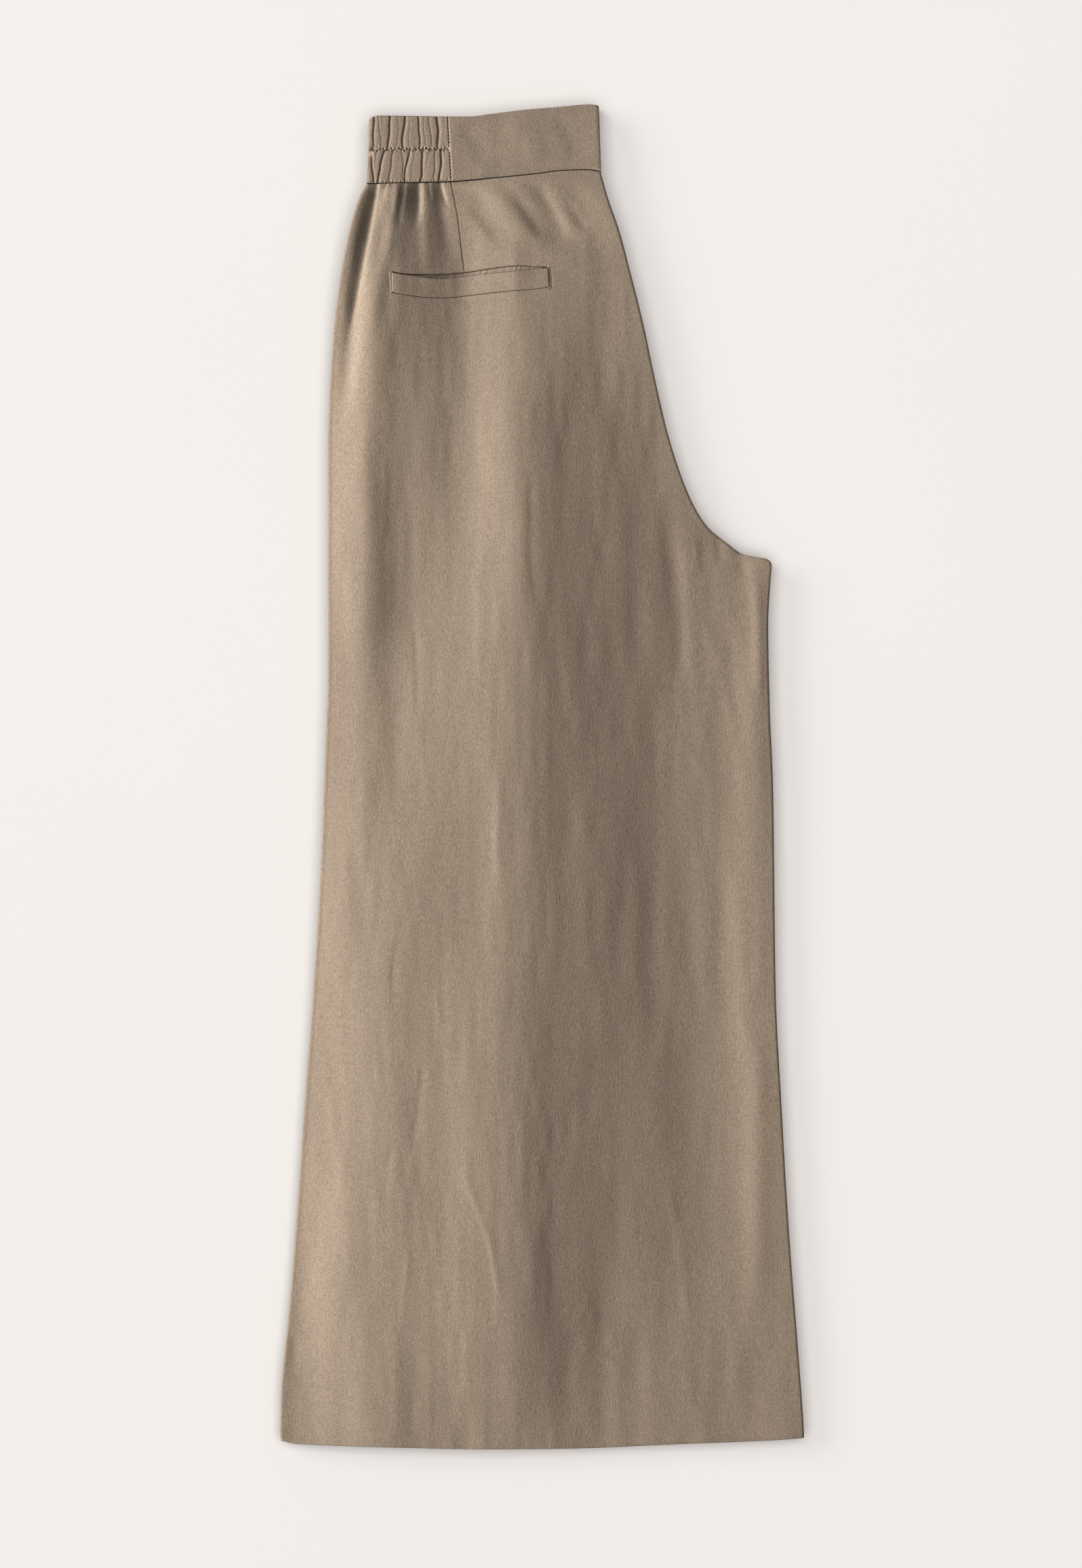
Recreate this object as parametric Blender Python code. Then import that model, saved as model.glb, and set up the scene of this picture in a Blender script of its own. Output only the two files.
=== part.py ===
"""Wide-leg linen culottes, folded in half down the centre-back seam and laid flat.

The waist points to +Y, the side seams lie at -X and the centre back and inseams at +X.
From the top down lie one back, the two fronts, and the other back. Tables are in millimetres.
"""

import math
from collections import namedtuple

import bmesh
import bpy
import numpy as np

MM = 0.001


def table(columns, *rows):
    """Rows of numbers with named columns."""
    row_type = namedtuple("Row", columns)
    return [row_type(*row) for row in rows]


# ---- Driving sizes ----

CLOTH = 1.4  # one panel's wall, with its surface texture
HEM_CLOTH = 2.0  # the same wall where the hem is turned up
HEM_DEPTH = 52.0
BAND_CLOTH = 2.2  # waistband folded double
ELASTIC_CLOTH = 2.4  # waistband folded round its elastic
SEAM_GAP = 0.3
HALF_GAP = SEAM_GAP / 2
LAYER_GAP = 0.5  # between the hidden layers and the cloth round them
BAND_JOIN_X = -71.0  # where the elastic stretch of the waistband ends
STITCH_ROW = 0.49  # share of the waistband's depth at which a row of stitching crosses the elastic

WELT_LENGTH = 120.0
WELT_DEPTH = 15.5
WELT_CLOTH = 1.4
WELT_LEFT_X = -114.5
MOUTH_GAP = 3.6  # how far the pocket's mouth gapes at its middle
MOUTH_SINK = 1.9  # how far the pocket's facing lies under the panel
FULL_SINK_GAPE = 1.2  # the gape from which it lies at its full depth
FACING_CLOTH = 1.0
FACING_DEPTH = 6.0
FACING_TUCK = 1.5  # how far the facing's top edge lies below the upper lip
WELT_RISE = 0.22  # how far the welt stands up, as a share of the gape
WELT_LINES = table("below rise", (6.0, 0.7), (11.0, 0.25))  # lines across it, and their rise
POCKET_SAG = table("x y width drop level fade", (-75.0, 380.0, 34.0, 4.0, 20.0, 40.0))[0]

EDGE_ROLL = 3.6  # how far in from an edge the cloth reaches its face
ARC_STEPS = 3  # facets round the quarter roll at each edge
LINEN = (0.36, 0.29, 0.225)
LINEN_DARK = (0.25, 0.2, 0.155)

# The side-seam edge, from the waist seam down to the hem.
SIDE_EDGE = table(
    "y x",
    (455, -132.6),
    (451.5, -133.5),
    (441, -138.7),
    (416, -146.4),
    (385, -152.6),
    (344, -158.2),
    (302, -161.3),
    (251, -162.9),
    (86, -162.9),
    (24, -164.9),
    (-69, -168.6),
    (-161, -174.2),
    (-254, -181.4),
    (-347, -188.1),
    (-409, -193.3),
    (-471, -199.0),
    (-502, -199.5),
    (-507, -198.0),
)

# The centre-back seam, the crotch's short ledge with its round corner, then the inseam.
CENTRE_EDGE = table(
    "y x",
    (465, 41.0),
    (460.5, 43.6),
    (441, 49.5),
    (416, 58.2),
    (385, 66.5),
    (344, 76.8),
    (302, 85.7),
    (261, 95.4),
    (230, 105.2),
    (210, 113.4),
    (199.5, 119.1),
    (189, 126.8),
    (179, 139.2),
    (172.7, 147.4),
    (170.1, 151.5),
    (168, 159.8),
    (166, 171.0),
    (162, 174.2),
    (148, 173.2),
    (117, 171.6),
    (55, 172.7),
    (-7, 175.3),
    (-160, 177.3),
    (-254, 182.0),
    (-347, 187.6),
    (-440, 194.8),
    (-495, 198.8),
    (-504, 199.2),
)

WAIST_SEAM = table(
    "x y",
    (-134, 451.5),
    (-104, 452.3),
    (-70, 453.2),
    (-34, 456.0),
    (-3, 459.0),
    (15, 461.3),
    (34, 461.9),
    (45, 460.4),
)
WAIST_TOP = table(
    "x y",
    (-132.0, 499.5),
    (-129.5, 502.0),
    (-125, 503.1),
    (-56, 502.1),
    (-39, 504.1),
    (-14, 507.2),
    (11, 509.3),
    (36, 511.3),
    (42, 510.6),
    (44, 509.0),
)
HEM_LINE = table(
    "x y",
    (-199, -505.5),
    (-186, -508.2),
    (-124, -509.8),
    (-50, -511.3),
    (24, -510.8),
    (98, -507.7),
    (173, -504.6),
    (199, -502.6),
)
BAND_EDGES = table("share left right", (0.0, -133.5, 44.6), (0.5, -132.2, 43.8), (1.0, -131.8, 42.9))

# Height of the whole stack of layers, before its folds.
STACK = table(
    "y height",
    (512, 15.0),
    (480, 16.5),
    (440, 17.0),
    (380, 16.0),
    (300, 15.0),
    (0, 14.5),
    (-300, 13.5),
    (-440, 12.5),
    (-500, 11.0),
    (-512, 10.4),
)

# Sections across the panels: where each one starts on the side edge and ends on the centre edge,
# and how far the legs are apart there: 0 where the backs are one round the centre-back seam, 1
# where each leg has its own inseam.
SECTIONS = table(
    "left_y right_y apart",
    (451.35, 460.3, 0.0),
    (445.0, 453.7, 0.0),
    (434.0, 442.4, 0.0),
    (418.0, 426.0, 0.0),
    (400.0, 407.6, 0.0),
    (355.0, 360.0, 0.0),
    (325.0, 327.5, 0.0),
    (285.0, 285.0, 0.0),
    (245.0, 243.0, 0.0),
    (217.0, 212.0, 0.0),
    (199.0, 193.0, 0.0),
    (187.0, 181.0, 0.0),
    (179.0, 173.4, 0.0),
    (173.0, 169.3, 0.0),
    (168.0, 167.6, 0.3),
    (163.5, 165.9, 0.6),
    (159.0, 162.3, 0.8),
    (151.0, 154.0, 1.0),
    (136.0, 138.0, 1.0),
    (105.0, 106.0, 1.0),
    (45.0, 45.0, 1.0),
    (-25.0, -25.0, 1.0),
    (-95.0, -95.0, 1.0),
    (-165.0, -165.0, 1.0),
    (-235.0, -235.0, 1.0),
    (-305.0, -305.0, 1.0),
    (-375.0, -375.0, 1.0),
    (-430.0, -430.0, 1.0),
    (-452.0, -449.5, 1.0),
    (-454.0, -451.5, 1.0),
    (-485.0, -482.0, 1.0),
    (-505.5, -502.6, 1.0),
)
# The sections that shape the pocket's mouth: distance above the mouth's line, the share of the
# gape added to it, and the share of the sink.
MOUTH_LINE = table("left_y right_y", (382.4, 389.7))[0]
MOUTH_SECTIONS = table(
    "above gape sink",
    (9.0, 0.5, 0.0),
    (0.6, 0.5, 0.0),
    (-1.2, 0.5, 1.0),
    (-FACING_DEPTH - 1.0, -0.5, 1.0),
    (-FACING_DEPTH - 2.8, -0.5, 0.0),
    (-WELT_DEPTH, -0.5, 0.0),
)

# Lines that run down the panel, as shares of the way from the side edge to the centre edge,
# with the number of columns of points up to each one.
LINES = table(
    "waist pocket leg columns",
    (0.0, 0.0, 0.0, 0),
    (0.144, 0.152, 0.15, 6),
    (0.36, 0.421, 0.4, 9),
    (0.76, 0.733, 0.72, 5),
    (1.0, 1.0, 1.0, 4),
)

# The heights between which those shares change: from the waist's to the pocket's, then the leg's.
LINE_HEIGHTS = table("high low", (450.0, 380.0), (370.0, 120.0))
WAIST_BEND = table("none full", (395.0, 455.0))[0]  # where the rows bend to the waist seam
HEM_BEND = table("none full", (-440.0, -500.0))[0]  # and to the hem

UNDER_SHARES = (0.0, 0.35, 0.6, 0.83, 0.93, 1.0)  # the same lines on the flat underside
UNDER_BAND_X = (30.0, 13.0, -27.0)  # and where they go on up the underside of the waistband

# Folds of the back panel that shows. Each runs down through three points. A rise above 0 is a
# ridge and one below 0 a valley; its ends fade over the lengths given.
FOLDS = table(
    "top_x top_y mid_x mid_y end_x end_y width rise fade_in fade_out",
    # gathers that hang from the elastic
    (-122.6, 456, -135.8, 400, -153.0, 262, 6.3, -1.4, 16, 70),
    (-108.4, 456, -116.6, 410, -133.0, 320, 5.6, 0.8, 14, 90),
    (-114.0, 440, -121.0, 400, -118.0, 320, 9.0, -1.2, 30, 80),
    (-93.4, 456, -96.6, 420, -105.6, 370, 8.2, -0.8, 10, 70),
    (-89.1, 456, -88.8, 420, -83.4, 370, 4.4, 0.3, 10, 70),
    (-80.4, 456, -74.8, 420, -68.9, 380, 5.2, -0.6, 10, 60),
    # slanting waves across the seat
    (-54.0, 452, -33.4, 420, -15.0, 395, 12.0, -0.8, 14, 25),
    (-32.0, 456, -6.6, 425, 14.0, 395, 12.0, -0.9, 14, 25),
    (-6.5, 456, 8.1, 430, 23.0, 395, 12.0, -1.5, 14, 25),
    (16.0, 456, 31.1, 430, 46.0, 385, 12.0, -0.8, 14, 40),
    # the valley beside the dart, which runs on down the seat
    (-70.0, 470, -60.0, 300, -74.0, 20, 31.0, -3.4, 30, 240),
    # the leg: its side edge falls, its middle is full of air, and the right is hollow
    (-175.0, 452, -190.0, 100, -192.0, -640, 29.0, -4.9, 170, 400),
    (-118.0, 440, -132.6, 200, -135.4, -100, 15.0, 1.2, 60, 250),
    (-40.4, 420, -20.0, 60, -41.0, -600, 73.0, 6.1, 170, 200),
    (-114.4, 120, -115.0, -200, -137.0, -640, 36.0, 2.2, 260, 200),
    (155.0, 300, 118.0, 60, 135.5, -460, 48.0, -1.7, 160, 160),
    (165.0, 120, 161.0, -100, 167.4, -440, 14.0, 0.8, 80, 120),
)

# The creases of the gathered waistband, one row down each side of the row of stitching.
UPPER_CREASES = table(
    "top_x low_x width depth",
    (-126.4, -127.2, 1.9, 1.3),
    (-121.5, -122.6, 1.5, 0.9),
    (-115.2, -117.0, 1.6, 1.9),
    (-110.0, -110.4, 1.5, 0.7),
    (-103.4, -106.0, 1.6, 1.8),
    (-94.6, -93.2, 1.7, 1.4),
    (-86.2, -83.0, 1.6, 0.9),
    (-79.8, -79.8, 1.9, 2.0),
)
LOWER_CREASES = table(
    "top_x low_x width depth",
    (-129.6, -127.9, 1.7, 1.2),
    (-121.1, -124.9, 1.6, 1.8),
    (-112.5, -116.2, 1.7, 1.1),
    (-105.2, -105.6, 1.7, 1.4),
    (-98.7, -102.4, 1.5, 1.8),
    (-91.3, -92.2, 1.6, 1.8),
    (-85.8, -90.0, 1.4, 0.8),
    (-82.1, -81.7, 1.5, 1.2),
    (-76.8, -78.2, 1.6, 1.9),
)
WAVE_COLUMNS = 38
WAVE_ROOM = 2.2  # the most that the gathers dip
HELD = table("reach drop flatter", (0.1, 0.9, 0.6))[0]  # how the row of stitching holds them
JOIN_BLEND = table("start length", (2.0, 8.0))[0]  # where their room under the band ends
BAND_ROLL = 4.0
TOP_EDGE = table("start drop", (0.88, 0.8))[0]  # share of the band's depth where it rounds over
GROOVE = 0.9  # gap between the two hidden layers
GROOVE_IN = 9.0  # how far it is cut into the hem and the waist's top edge
GROOVE_SIDE_IN = 1.6  # how far it is cut into the sides, past the roll
LIP_TURN = math.radians(35)  # where round the roll each hidden layer's lip is fullest
GROOVE_TURN = math.radians(62)  # and where the groove starts
END_ROUND = 0.1  # share of an end's height that its edges round off
HIDDEN_SHORT = 1.5  # how much shorter the hidden layers are there
FULL_SPLIT = 0.6  # the share of `apart` at which both inseams show
TUCKED_STEP = 0.05
FLOOR_STEP = 0.3
BAND_SHARES = (0.0, 0.12, 0.4, STITCH_ROW, 0.58, 0.9, 1.0)
SMOOTH_SHARES = (0.0, 0.5, 0.94, 1.0)
PLAIN_SHARES = (0.0, 0.5, 1.0)

# ---- Curves and heights ----


def smooth_through(rows, at):
    """The second column of a table at places in its first, on a curve that never overshoots."""
    places, values = np.array(sorted((row[0], row[1]) for row in rows), float).T
    steps = np.diff(places)
    slopes = np.diff(values) / steps
    before, after = slopes[:-1], slopes[1:]
    level = before * after <= 0
    total = np.where(level, 1.0, before + after)
    inner = np.where(level, 0.0, 2 * before * after / total)
    tangents = np.concatenate([slopes[:1], inner, slopes[-1:]])
    at = np.clip(np.asarray(at, float), places[0], places[-1])
    k = np.clip(np.searchsorted(places, at, side="right") - 1, 0, len(steps) - 1)
    t = (at - places[k]) / steps[k]
    ends = values[k] * (1 + 2 * t) * (1 - t) ** 2 + values[k + 1] * t**2 * (3 - 2 * t)
    leans = tangents[k] * t * (1 - t) ** 2 - tangents[k + 1] * t**2 * (1 - t)
    return ends + leans * steps[k]


def ease(value):
    """0 below 0, 1 above 1, and smooth between."""
    value = np.clip(value, 0.0, 1.0)
    return value * value * (3 - 2 * value)


def fold_height(x, y):
    """What the folds add to the stack's height at a place on the panel that shows."""
    total = np.zeros(np.broadcast(x, y).shape)
    for fold in FOLDS:
        path = [(fold.top_y, fold.top_x), (fold.mid_y, fold.mid_x), (fold.end_y, fold.end_x)]
        middle = smooth_through(path, y)
        fades = ease((fold.top_y - y) / fold.fade_in) * ease((y - fold.end_y) / fold.fade_out)
        total = total + fold.rise * fades * np.exp(-(((x - middle) / fold.width) ** 2))
    return total


def stack_height(y):
    return smooth_through(STACK, y)


def mouth_share(x):
    """How far along the pocket's mouth a place is, from 0 to 1."""
    return np.clip((x - WELT_LEFT_X) / WELT_LENGTH, 0.0, 1.0)


def gape(x):
    """Width of the pocket's open mouth at a place along it."""
    return MOUTH_GAP * np.sin(math.pi * mouth_share(x)) ** 0.8


def pocket_sag(x, y):
    """How far the rows near the pocket hang down under it."""
    near = ease((POCKET_SAG.level + POCKET_SAG.fade - abs(y - POCKET_SAG.y)) / POCKET_SAG.fade)
    return -POCKET_SAG.drop * near * np.exp(-(((x - POCKET_SAG.x) / POCKET_SAG.width) ** 2))


def between(span, y):
    """0 at one height up the garment, 1 at another, and smooth between."""
    return ease((y - span[0]) / (span[1] - span[0]))


def bow(line, x):
    """How far a line across the garment leaves the straight one between its ends."""
    first, last = line[0], line[-1]
    straight = first.y + (last.y - first.y) * (x - first.x) / (last.x - first.x)
    return smooth_through(line, x) - straight


# ---- Sections ----

Section = namedtuple("Section", "left right left_in right_in roll apart shares bend sink cloth")


def inward(edge, y, side):
    """The unit direction, in plan, straight in from an edge at height y up the garment."""
    reach = 2.0
    rise = 2 * reach
    run = float(smooth_through([(r.y, r.x) for r in edge], y + reach))
    run -= float(smooth_through([(r.y, r.x) for r in edge], y - reach))
    length = math.hypot(rise, run)
    return np.array([side * rise / length, -side * run / length])


def line_shares(y):
    """The columns of points at a height up the garment, as shares from edge to edge."""
    down, leg = (between(span, y) for span in LINE_HEIGHTS)
    shares = [0.0]
    for line in LINES[1:]:
        end = line.waist + (line.pocket - line.waist) * down + (line.leg - line.pocket) * leg
        shares += list(np.linspace(shares[-1], end, line.columns + 1)[1:])
    return np.array(shares)


def panel_section(row, bend=None, sink=0.0):
    left_x = float(smooth_through([(r.y, r.x) for r in SIDE_EDGE], row.left_y))
    right_x = float(smooth_through([(r.y, r.x) for r in CENTRE_EDGE], row.right_y))
    middle = (row.left_y + row.right_y) / 2

    def bends(x):
        at_waist = bow(WAIST_SEAM, x) * between(WAIST_BEND, middle)
        at_hem = bow(HEM_LINE, x) * between(HEM_BEND, middle)
        return at_waist + at_hem + pocket_sag(x, middle) + (bend(x) if bend else 0.0)

    in_hem = middle < HEM_LINE[0].y + HEM_DEPTH
    return Section(
        np.array([left_x, row.left_y]),
        np.array([right_x, row.right_y]),
        inward(SIDE_EDGE, row.left_y, 1),
        inward(CENTRE_EDGE, row.right_y, -1),
        EDGE_ROLL,
        row.apart,
        line_shares(middle),
        bends,
        sink,
        HEM_CLOTH if in_hem else CLOTH,
    )


def mouth_sections():
    """The sections round the pocket's mouth, where the panel dips under its upper lip."""
    sections = []
    for row in MOUTH_SECTIONS:
        moved = MOUTH_LINE._replace(
            left_y=MOUTH_LINE.left_y + row.above, right_y=MOUTH_LINE.right_y + row.above
        )
        moved = SECTIONS[0]._replace(**moved._asdict())
        sections.append(panel_section(moved, lambda x, row=row: row.gape * gape(x), row.sink))
    return sections


def panel_sections():
    plain = [panel_section(row) for row in SECTIONS]
    return sorted(plain + mouth_sections(), key=lambda section: -section.left[1])


def band_section(share, recess=0.0):
    """A section of the waistband, a share of the way from the waist seam to the top edge."""
    left_x = float(smooth_through([(r.share, r.left) for r in BAND_EDGES], share))
    right_x = float(smooth_through([(r.share, r.right) for r in BAND_EDGES], share))

    def up(x):
        low = smooth_through(WAIST_SEAM, x) + HALF_GAP
        return low + (smooth_through(WAIST_TOP, x) - recess - low) * share

    left_y, right_y = float(up(left_x)), float(up(right_x))

    def bends(x):
        return up(x) - (left_y + (right_y - left_y) * (x - left_x) / (right_x - left_x))

    return Section(
        np.array([left_x, left_y]),
        np.array([right_x, right_y]),
        np.array([1.0, 0.0]),
        np.array([-1.0, 0.0]),
        BAND_ROLL,
        0.0,
        np.array([0.0, 1.0]),
        bends,
        0.0,
        BAND_CLOTH,
    )


def shoulders(section):
    """The places in plan where the rolled edges of a section end and its face starts."""
    return (
        section.left + section.left_in * section.roll,
        section.right + section.right_in * section.roll,
    )


def share_at(section, x):
    left, right = shoulders(section)
    return (x - left[0]) / (right[0] - left[0])


def edge_stack(section, side):
    """Height of all the layers together where a side's roll ends."""
    x, y = shoulders(section)[0 if side < 0 else 1]
    return float(stack_height(y) + fold_height(x, y))


def seam_height(section, side, upward):
    """Height of the upper (1) or the lower (-1) panel's seam round a side edge."""
    stack = edge_stack(section, side)
    apart = 1.0 if side < 0 else section.apart
    return stack / 2 + upward * stack / 4 * apart


def face(section, shares, height):
    """Points of a section between its shoulders, each at the height a function gives."""
    left, right = shoulders(section)
    plan = left + (right - left) * np.asarray(shares)[:, None]
    y = plan[:, 1] + section.bend(plan[:, 0])
    return [(x, y_here, z) for x, y_here, z in zip(plan[:, 0], y, height(plan[:, 0], y))]


def edge_of(section, side):
    """A side's place in plan, and the direction straight in from it."""
    if side < 0:
        return section.left, section.left_in
    return section.right, section.right_in


def rolled(section, side, depth, seam_z, face_z, angles):
    """Points round a section's edge, from its seam (angle 0) to its face (a right angle)."""
    edge, into = edge_of(section, side)
    points = []
    for angle in angles:
        x, y = edge + into * (section.roll - (section.roll - depth) * math.cos(angle))
        z = seam_z + (face_z - seam_z) * math.sin(angle)
        points.append((x, y + float(section.bend(x)), z))
    return points


ROLL_ANGLES = [math.pi / 2 * step / ARC_STEPS for step in range(ARC_STEPS)]


def panel_top(section, depth):
    """A function for the height of the upper back, at a depth under its outer face."""

    def height(x, y):
        room = SEAM_GAP if depth > section.cloth else 0.0
        sunk = section.sink * (MOUTH_SINK + room) * ease(gape(x) / FULL_SINK_GAPE)
        return stack_height(y) + fold_height(x, y) - sunk - depth

    return height


def over_row(section, depth, lift):
    """One row of the upper back, over the top from the side edge to the centre edge."""
    height = panel_top(section, depth)
    middle = face(section, section.shares, height)
    left_z = seam_height(section, -1, 1) + lift
    right_z = seam_height(section, 1, 1) + lift
    left = rolled(section, -1, depth, left_z, middle[0][2], ROLL_ANGLES)
    right = rolled(section, 1, depth, right_z, middle[-1][2], ROLL_ANGLES[::-1])
    return left + middle + right


def under_row(section, depth):
    """One row of the lower back, which lies flat, with its edges turned up to the seams."""
    left_z = seam_height(section, -1, -1) - HALF_GAP
    right_z = seam_height(section, 1, -1) - HALF_GAP
    middle = face(section, UNDER_SHARES, lambda x, y: np.full(len(x), depth))
    left = rolled(section, -1, depth, left_z, depth, ROLL_ANGLES)
    right = rolled(section, 1, depth, right_z, depth, ROLL_ANGLES[::-1])
    return left + middle + right


# ---- Meshes ----


def material(name, colour):
    made = bpy.data.materials.new(name)
    made.use_nodes = True
    shader = made.node_tree.nodes["Principled BSDF"]
    shader.inputs["Base Color"].default_value = (*colour, 1.0)
    shader.inputs["Roughness"].default_value = 0.9
    shader.inputs["Metallic"].default_value = 0.0
    return made


def add_object(name, mesh, colour):
    bmesh.ops.recalc_face_normals(mesh, faces=mesh.faces)
    data = bpy.data.meshes.new(name)
    mesh.to_mesh(data)
    mesh.free()
    data.shade_smooth()
    data.set_sharp_from_angle(angle=math.radians(50))
    data.materials.append(material(name, colour))
    made = bpy.data.objects.new(name, data)
    bpy.context.scene.collection.objects.link(made)
    return made


def grid_of_points(mesh, rows):
    return [[mesh.verts.new([MM * float(v) for v in point]) for point in row] for row in rows]


def fill_grid(mesh, grid):
    for row, following in zip(grid, grid[1:]):
        for i in range(len(row) - 1):
            mesh.faces.new((row[i], following[i], following[i + 1], row[i + 1]))


def rim_of(grid):
    """The border of a grid of points, once round."""
    first, last = grid[0], grid[-1]
    left = [row[0] for row in grid]
    right = [row[-1] for row in grid]
    return left + last[1:-1] + right[::-1] + first[-2:0:-1]


def bridge(mesh, loop, following):
    """Joins two closed loops of as many points with a band of faces."""
    count = len(loop)
    for i in range(count):
        j = (i + 1) % count
        mesh.faces.new((loop[i], loop[j], following[j], following[i]))


def wall(name, outer_rows, inner_rows, colour=LINEN):
    """A sheet of cloth with a thickness: an outer face, an inner one and the rim between."""
    mesh = bmesh.new()
    outer = grid_of_points(mesh, outer_rows)
    inner = grid_of_points(mesh, inner_rows)
    fill_grid(mesh, outer)
    fill_grid(mesh, inner)
    bridge(mesh, rim_of(outer), rim_of(inner))
    return add_object(name, mesh, colour)


# ---- The hidden layers: one rounded solid, with a groove between its two layers ----


def side_levels(section, side, depth):
    """(inset, height) of each level of a rolled side edge, from the upper seam to the lower one."""
    apart = 1.0 if side < 0 else section.apart
    middle = edge_stack(section, side) / 2
    up = seam_height(section, side, 1) - middle
    bare = [
        (0.0, up - HALF_GAP),
        (section.roll * (1 - math.cos(LIP_TURN)), up * (1 - math.sin(LIP_TURN)) + GROOVE / 4),
        (section.roll * (1 - math.cos(GROOVE_TURN)) + GROOVE_SIDE_IN, GROOVE / 2),
    ]
    bare += [(inset, -z) for inset, z in reversed(bare)]
    shown = min(1.0, apart / FULL_SPLIT)
    levels = []
    for step, (inset, z) in enumerate(bare):
        tucked = -TUCKED_STEP * (step + 1)
        levels.append((depth + (inset - depth) * shown, middle + tucked + (z - tucked) * shown))
    lowest = middle - up - TUCKED_STEP * (len(bare) + 1) * (1 - shown)
    return levels + [(depth, lowest)]


def end_levels(top_z, floor_z, middle, groove_in):
    """(inset, height) of each level of a cut end, from its top edge to its lower one."""
    slack = 0.0 if groove_in else GROOVE / 4
    levels = [
        (0.0, top_z - (top_z - middle) * END_ROUND),
        (0.0, middle + GROOVE / 2 + slack),
        (groove_in, middle + GROOVE / 2 - slack),
    ]
    lower = [
        (groove_in, middle - GROOVE / 2 + slack),
        (0.0, middle - GROOVE / 2 - slack),
        (0.0, floor_z + (middle - floor_z) * 2 * END_ROUND),
        (0.0, floor_z + (middle - floor_z) * END_ROUND),
    ]
    return levels + lower


def plate(name, sections, top_rows, side_depths, floor, end_grooves):
    """A rounded solid under a top face of points, with its sides and ends worked round it.

    side_depths holds the inset of the top face's border on the left and on the right;
    end_grooves the groove cut into the waist end and into the hem end.
    """
    mesh = bmesh.new()
    top = grid_of_points(mesh, top_rows)
    fill_grid(mesh, top)
    last_row, last_column = len(top_rows) - 1, len(top_rows[0]) - 1
    places = [[(r, c) for c in range(last_column + 1)] for r in range(last_row + 1)]
    loops = [[] for _ in range(8)]
    for r, c in rim_of(places):
        section = sections[r]
        x, y, z = top_rows[r][c]
        at_side = -1 if c == 0 else 1 if c == last_column else 0
        at_end = -1 if r == 0 else 1 if r == last_row else 0
        groove_in = end_grooves[0] if at_end < 0 else end_grooves[1]
        if at_side:
            edge, into = edge_of(section, at_side)
            levels = side_levels(section, at_side, side_depths(section, at_side))
            levels.append((section.roll, floor(section)))
            shift = y - (edge + into * side_depths(section, at_side))[1]
            for k, (inset, level_z) in enumerate(levels):
                if at_end and k == 0:
                    inset = side_depths(section, at_side)  # the lip starts lower at a corner
                px, py = edge + into * inset
                py += shift
                if at_end and k in (2, 3):
                    py += at_end * groove_in
                loops[k].append((px, py, level_z))
            continue
        low = floor(section)
        middle = float(stack_height(y)) / 2
        side, steps = (-1, c) if c <= last_column / 2 else (1, last_column - c)
        near_x, near_low = x, low
        if steps <= ARC_STEPS:
            near_x = shoulders(section)[(side + 1) // 2][0] - side * FLOOR_STEP * steps
            near_low = floor_in_roll(section, side, side_depths(section, side), x, low)
        for k, (inset, level_z) in enumerate(end_levels(z, near_low, middle, groove_in)):
            loops[k].append((x, y + at_end * inset, level_z))
        loops[7].append((near_x, y, low))
    previous = rim_of(top)
    for loop in loops:
        points = [mesh.verts.new([MM * float(v) for v in point]) for point in loop]
        bridge(mesh, previous, points)
        previous = points
    mesh.faces.new(previous)
    return add_object(name, mesh, LINEN)


def floor_in_roll(section, side, depth, x, low):
    """Height of the plate's underside where an end crosses the roll of a side edge."""
    edge = edge_of(section, side)[0][0]
    lowest = side_levels(section, side, depth)[-1][1]
    along = min(1.0, (abs(x - edge) - depth) / (section.roll - depth))
    return lowest + (low - lowest) * along


# ---- The pieces of the legs ----


def back_upper(sections):
    outer = [over_row(section, 0.0, HALF_GAP) for section in sections]
    inner = [over_row(section, section.cloth, HALF_GAP) for section in sections]
    return wall("back_upper", outer, inner)


def back_lower(sections):
    outer = [under_row(section, 0.0) for section in sections]
    inner = [under_row(section, section.cloth) for section in sections]
    return wall("back_lower", outer, inner)


def hidden_depth(section, _side=0):
    """How far the hidden layers lie inside the outer face of the cloth round them."""
    return section.cloth + LAYER_GAP


def fronts_folded(sections):
    top = [over_row(section, hidden_depth(section), 0.0) for section in sections]
    top[-1] = [(x, y + HIDDEN_SHORT, z) for x, y, z in top[-1]]
    return plate("fronts_folded", sections, top, hidden_depth, hidden_depth, (0.0, GROOVE_IN))


# ---- The waistband ----


def gathers(x, share):
    """How far the elastic's gathers dip below the band's face."""
    rows = UPPER_CREASES if share >= STITCH_ROW else LOWER_CREASES
    start, end = (1.0, STITCH_ROW) if share >= STITCH_ROW else (STITCH_ROW, 0.0)
    along = (start - share) / (start - end)
    dip = np.zeros(len(x))
    for crease in rows:
        middle = crease.top_x + (crease.low_x - crease.top_x) * along
        dip = np.maximum(dip, crease.depth * np.exp(-(((x - middle) / crease.width) ** 2)))
    near_stitches = ease(1 - abs(share - STITCH_ROW) / HELD.reach)
    return dip * (1 - HELD.flatter * near_stitches) + HELD.drop * near_stitches


def top_edge_drop(share):
    """The waistband's top edge is a fold, so its face rounds down to it."""
    return TOP_EDGE.drop * ease((share - TOP_EDGE.start) / (1 - TOP_EDGE.start))


def band_seams(section):
    stack = float(stack_height(section.left[1]))
    return stack, stack / 4


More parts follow.
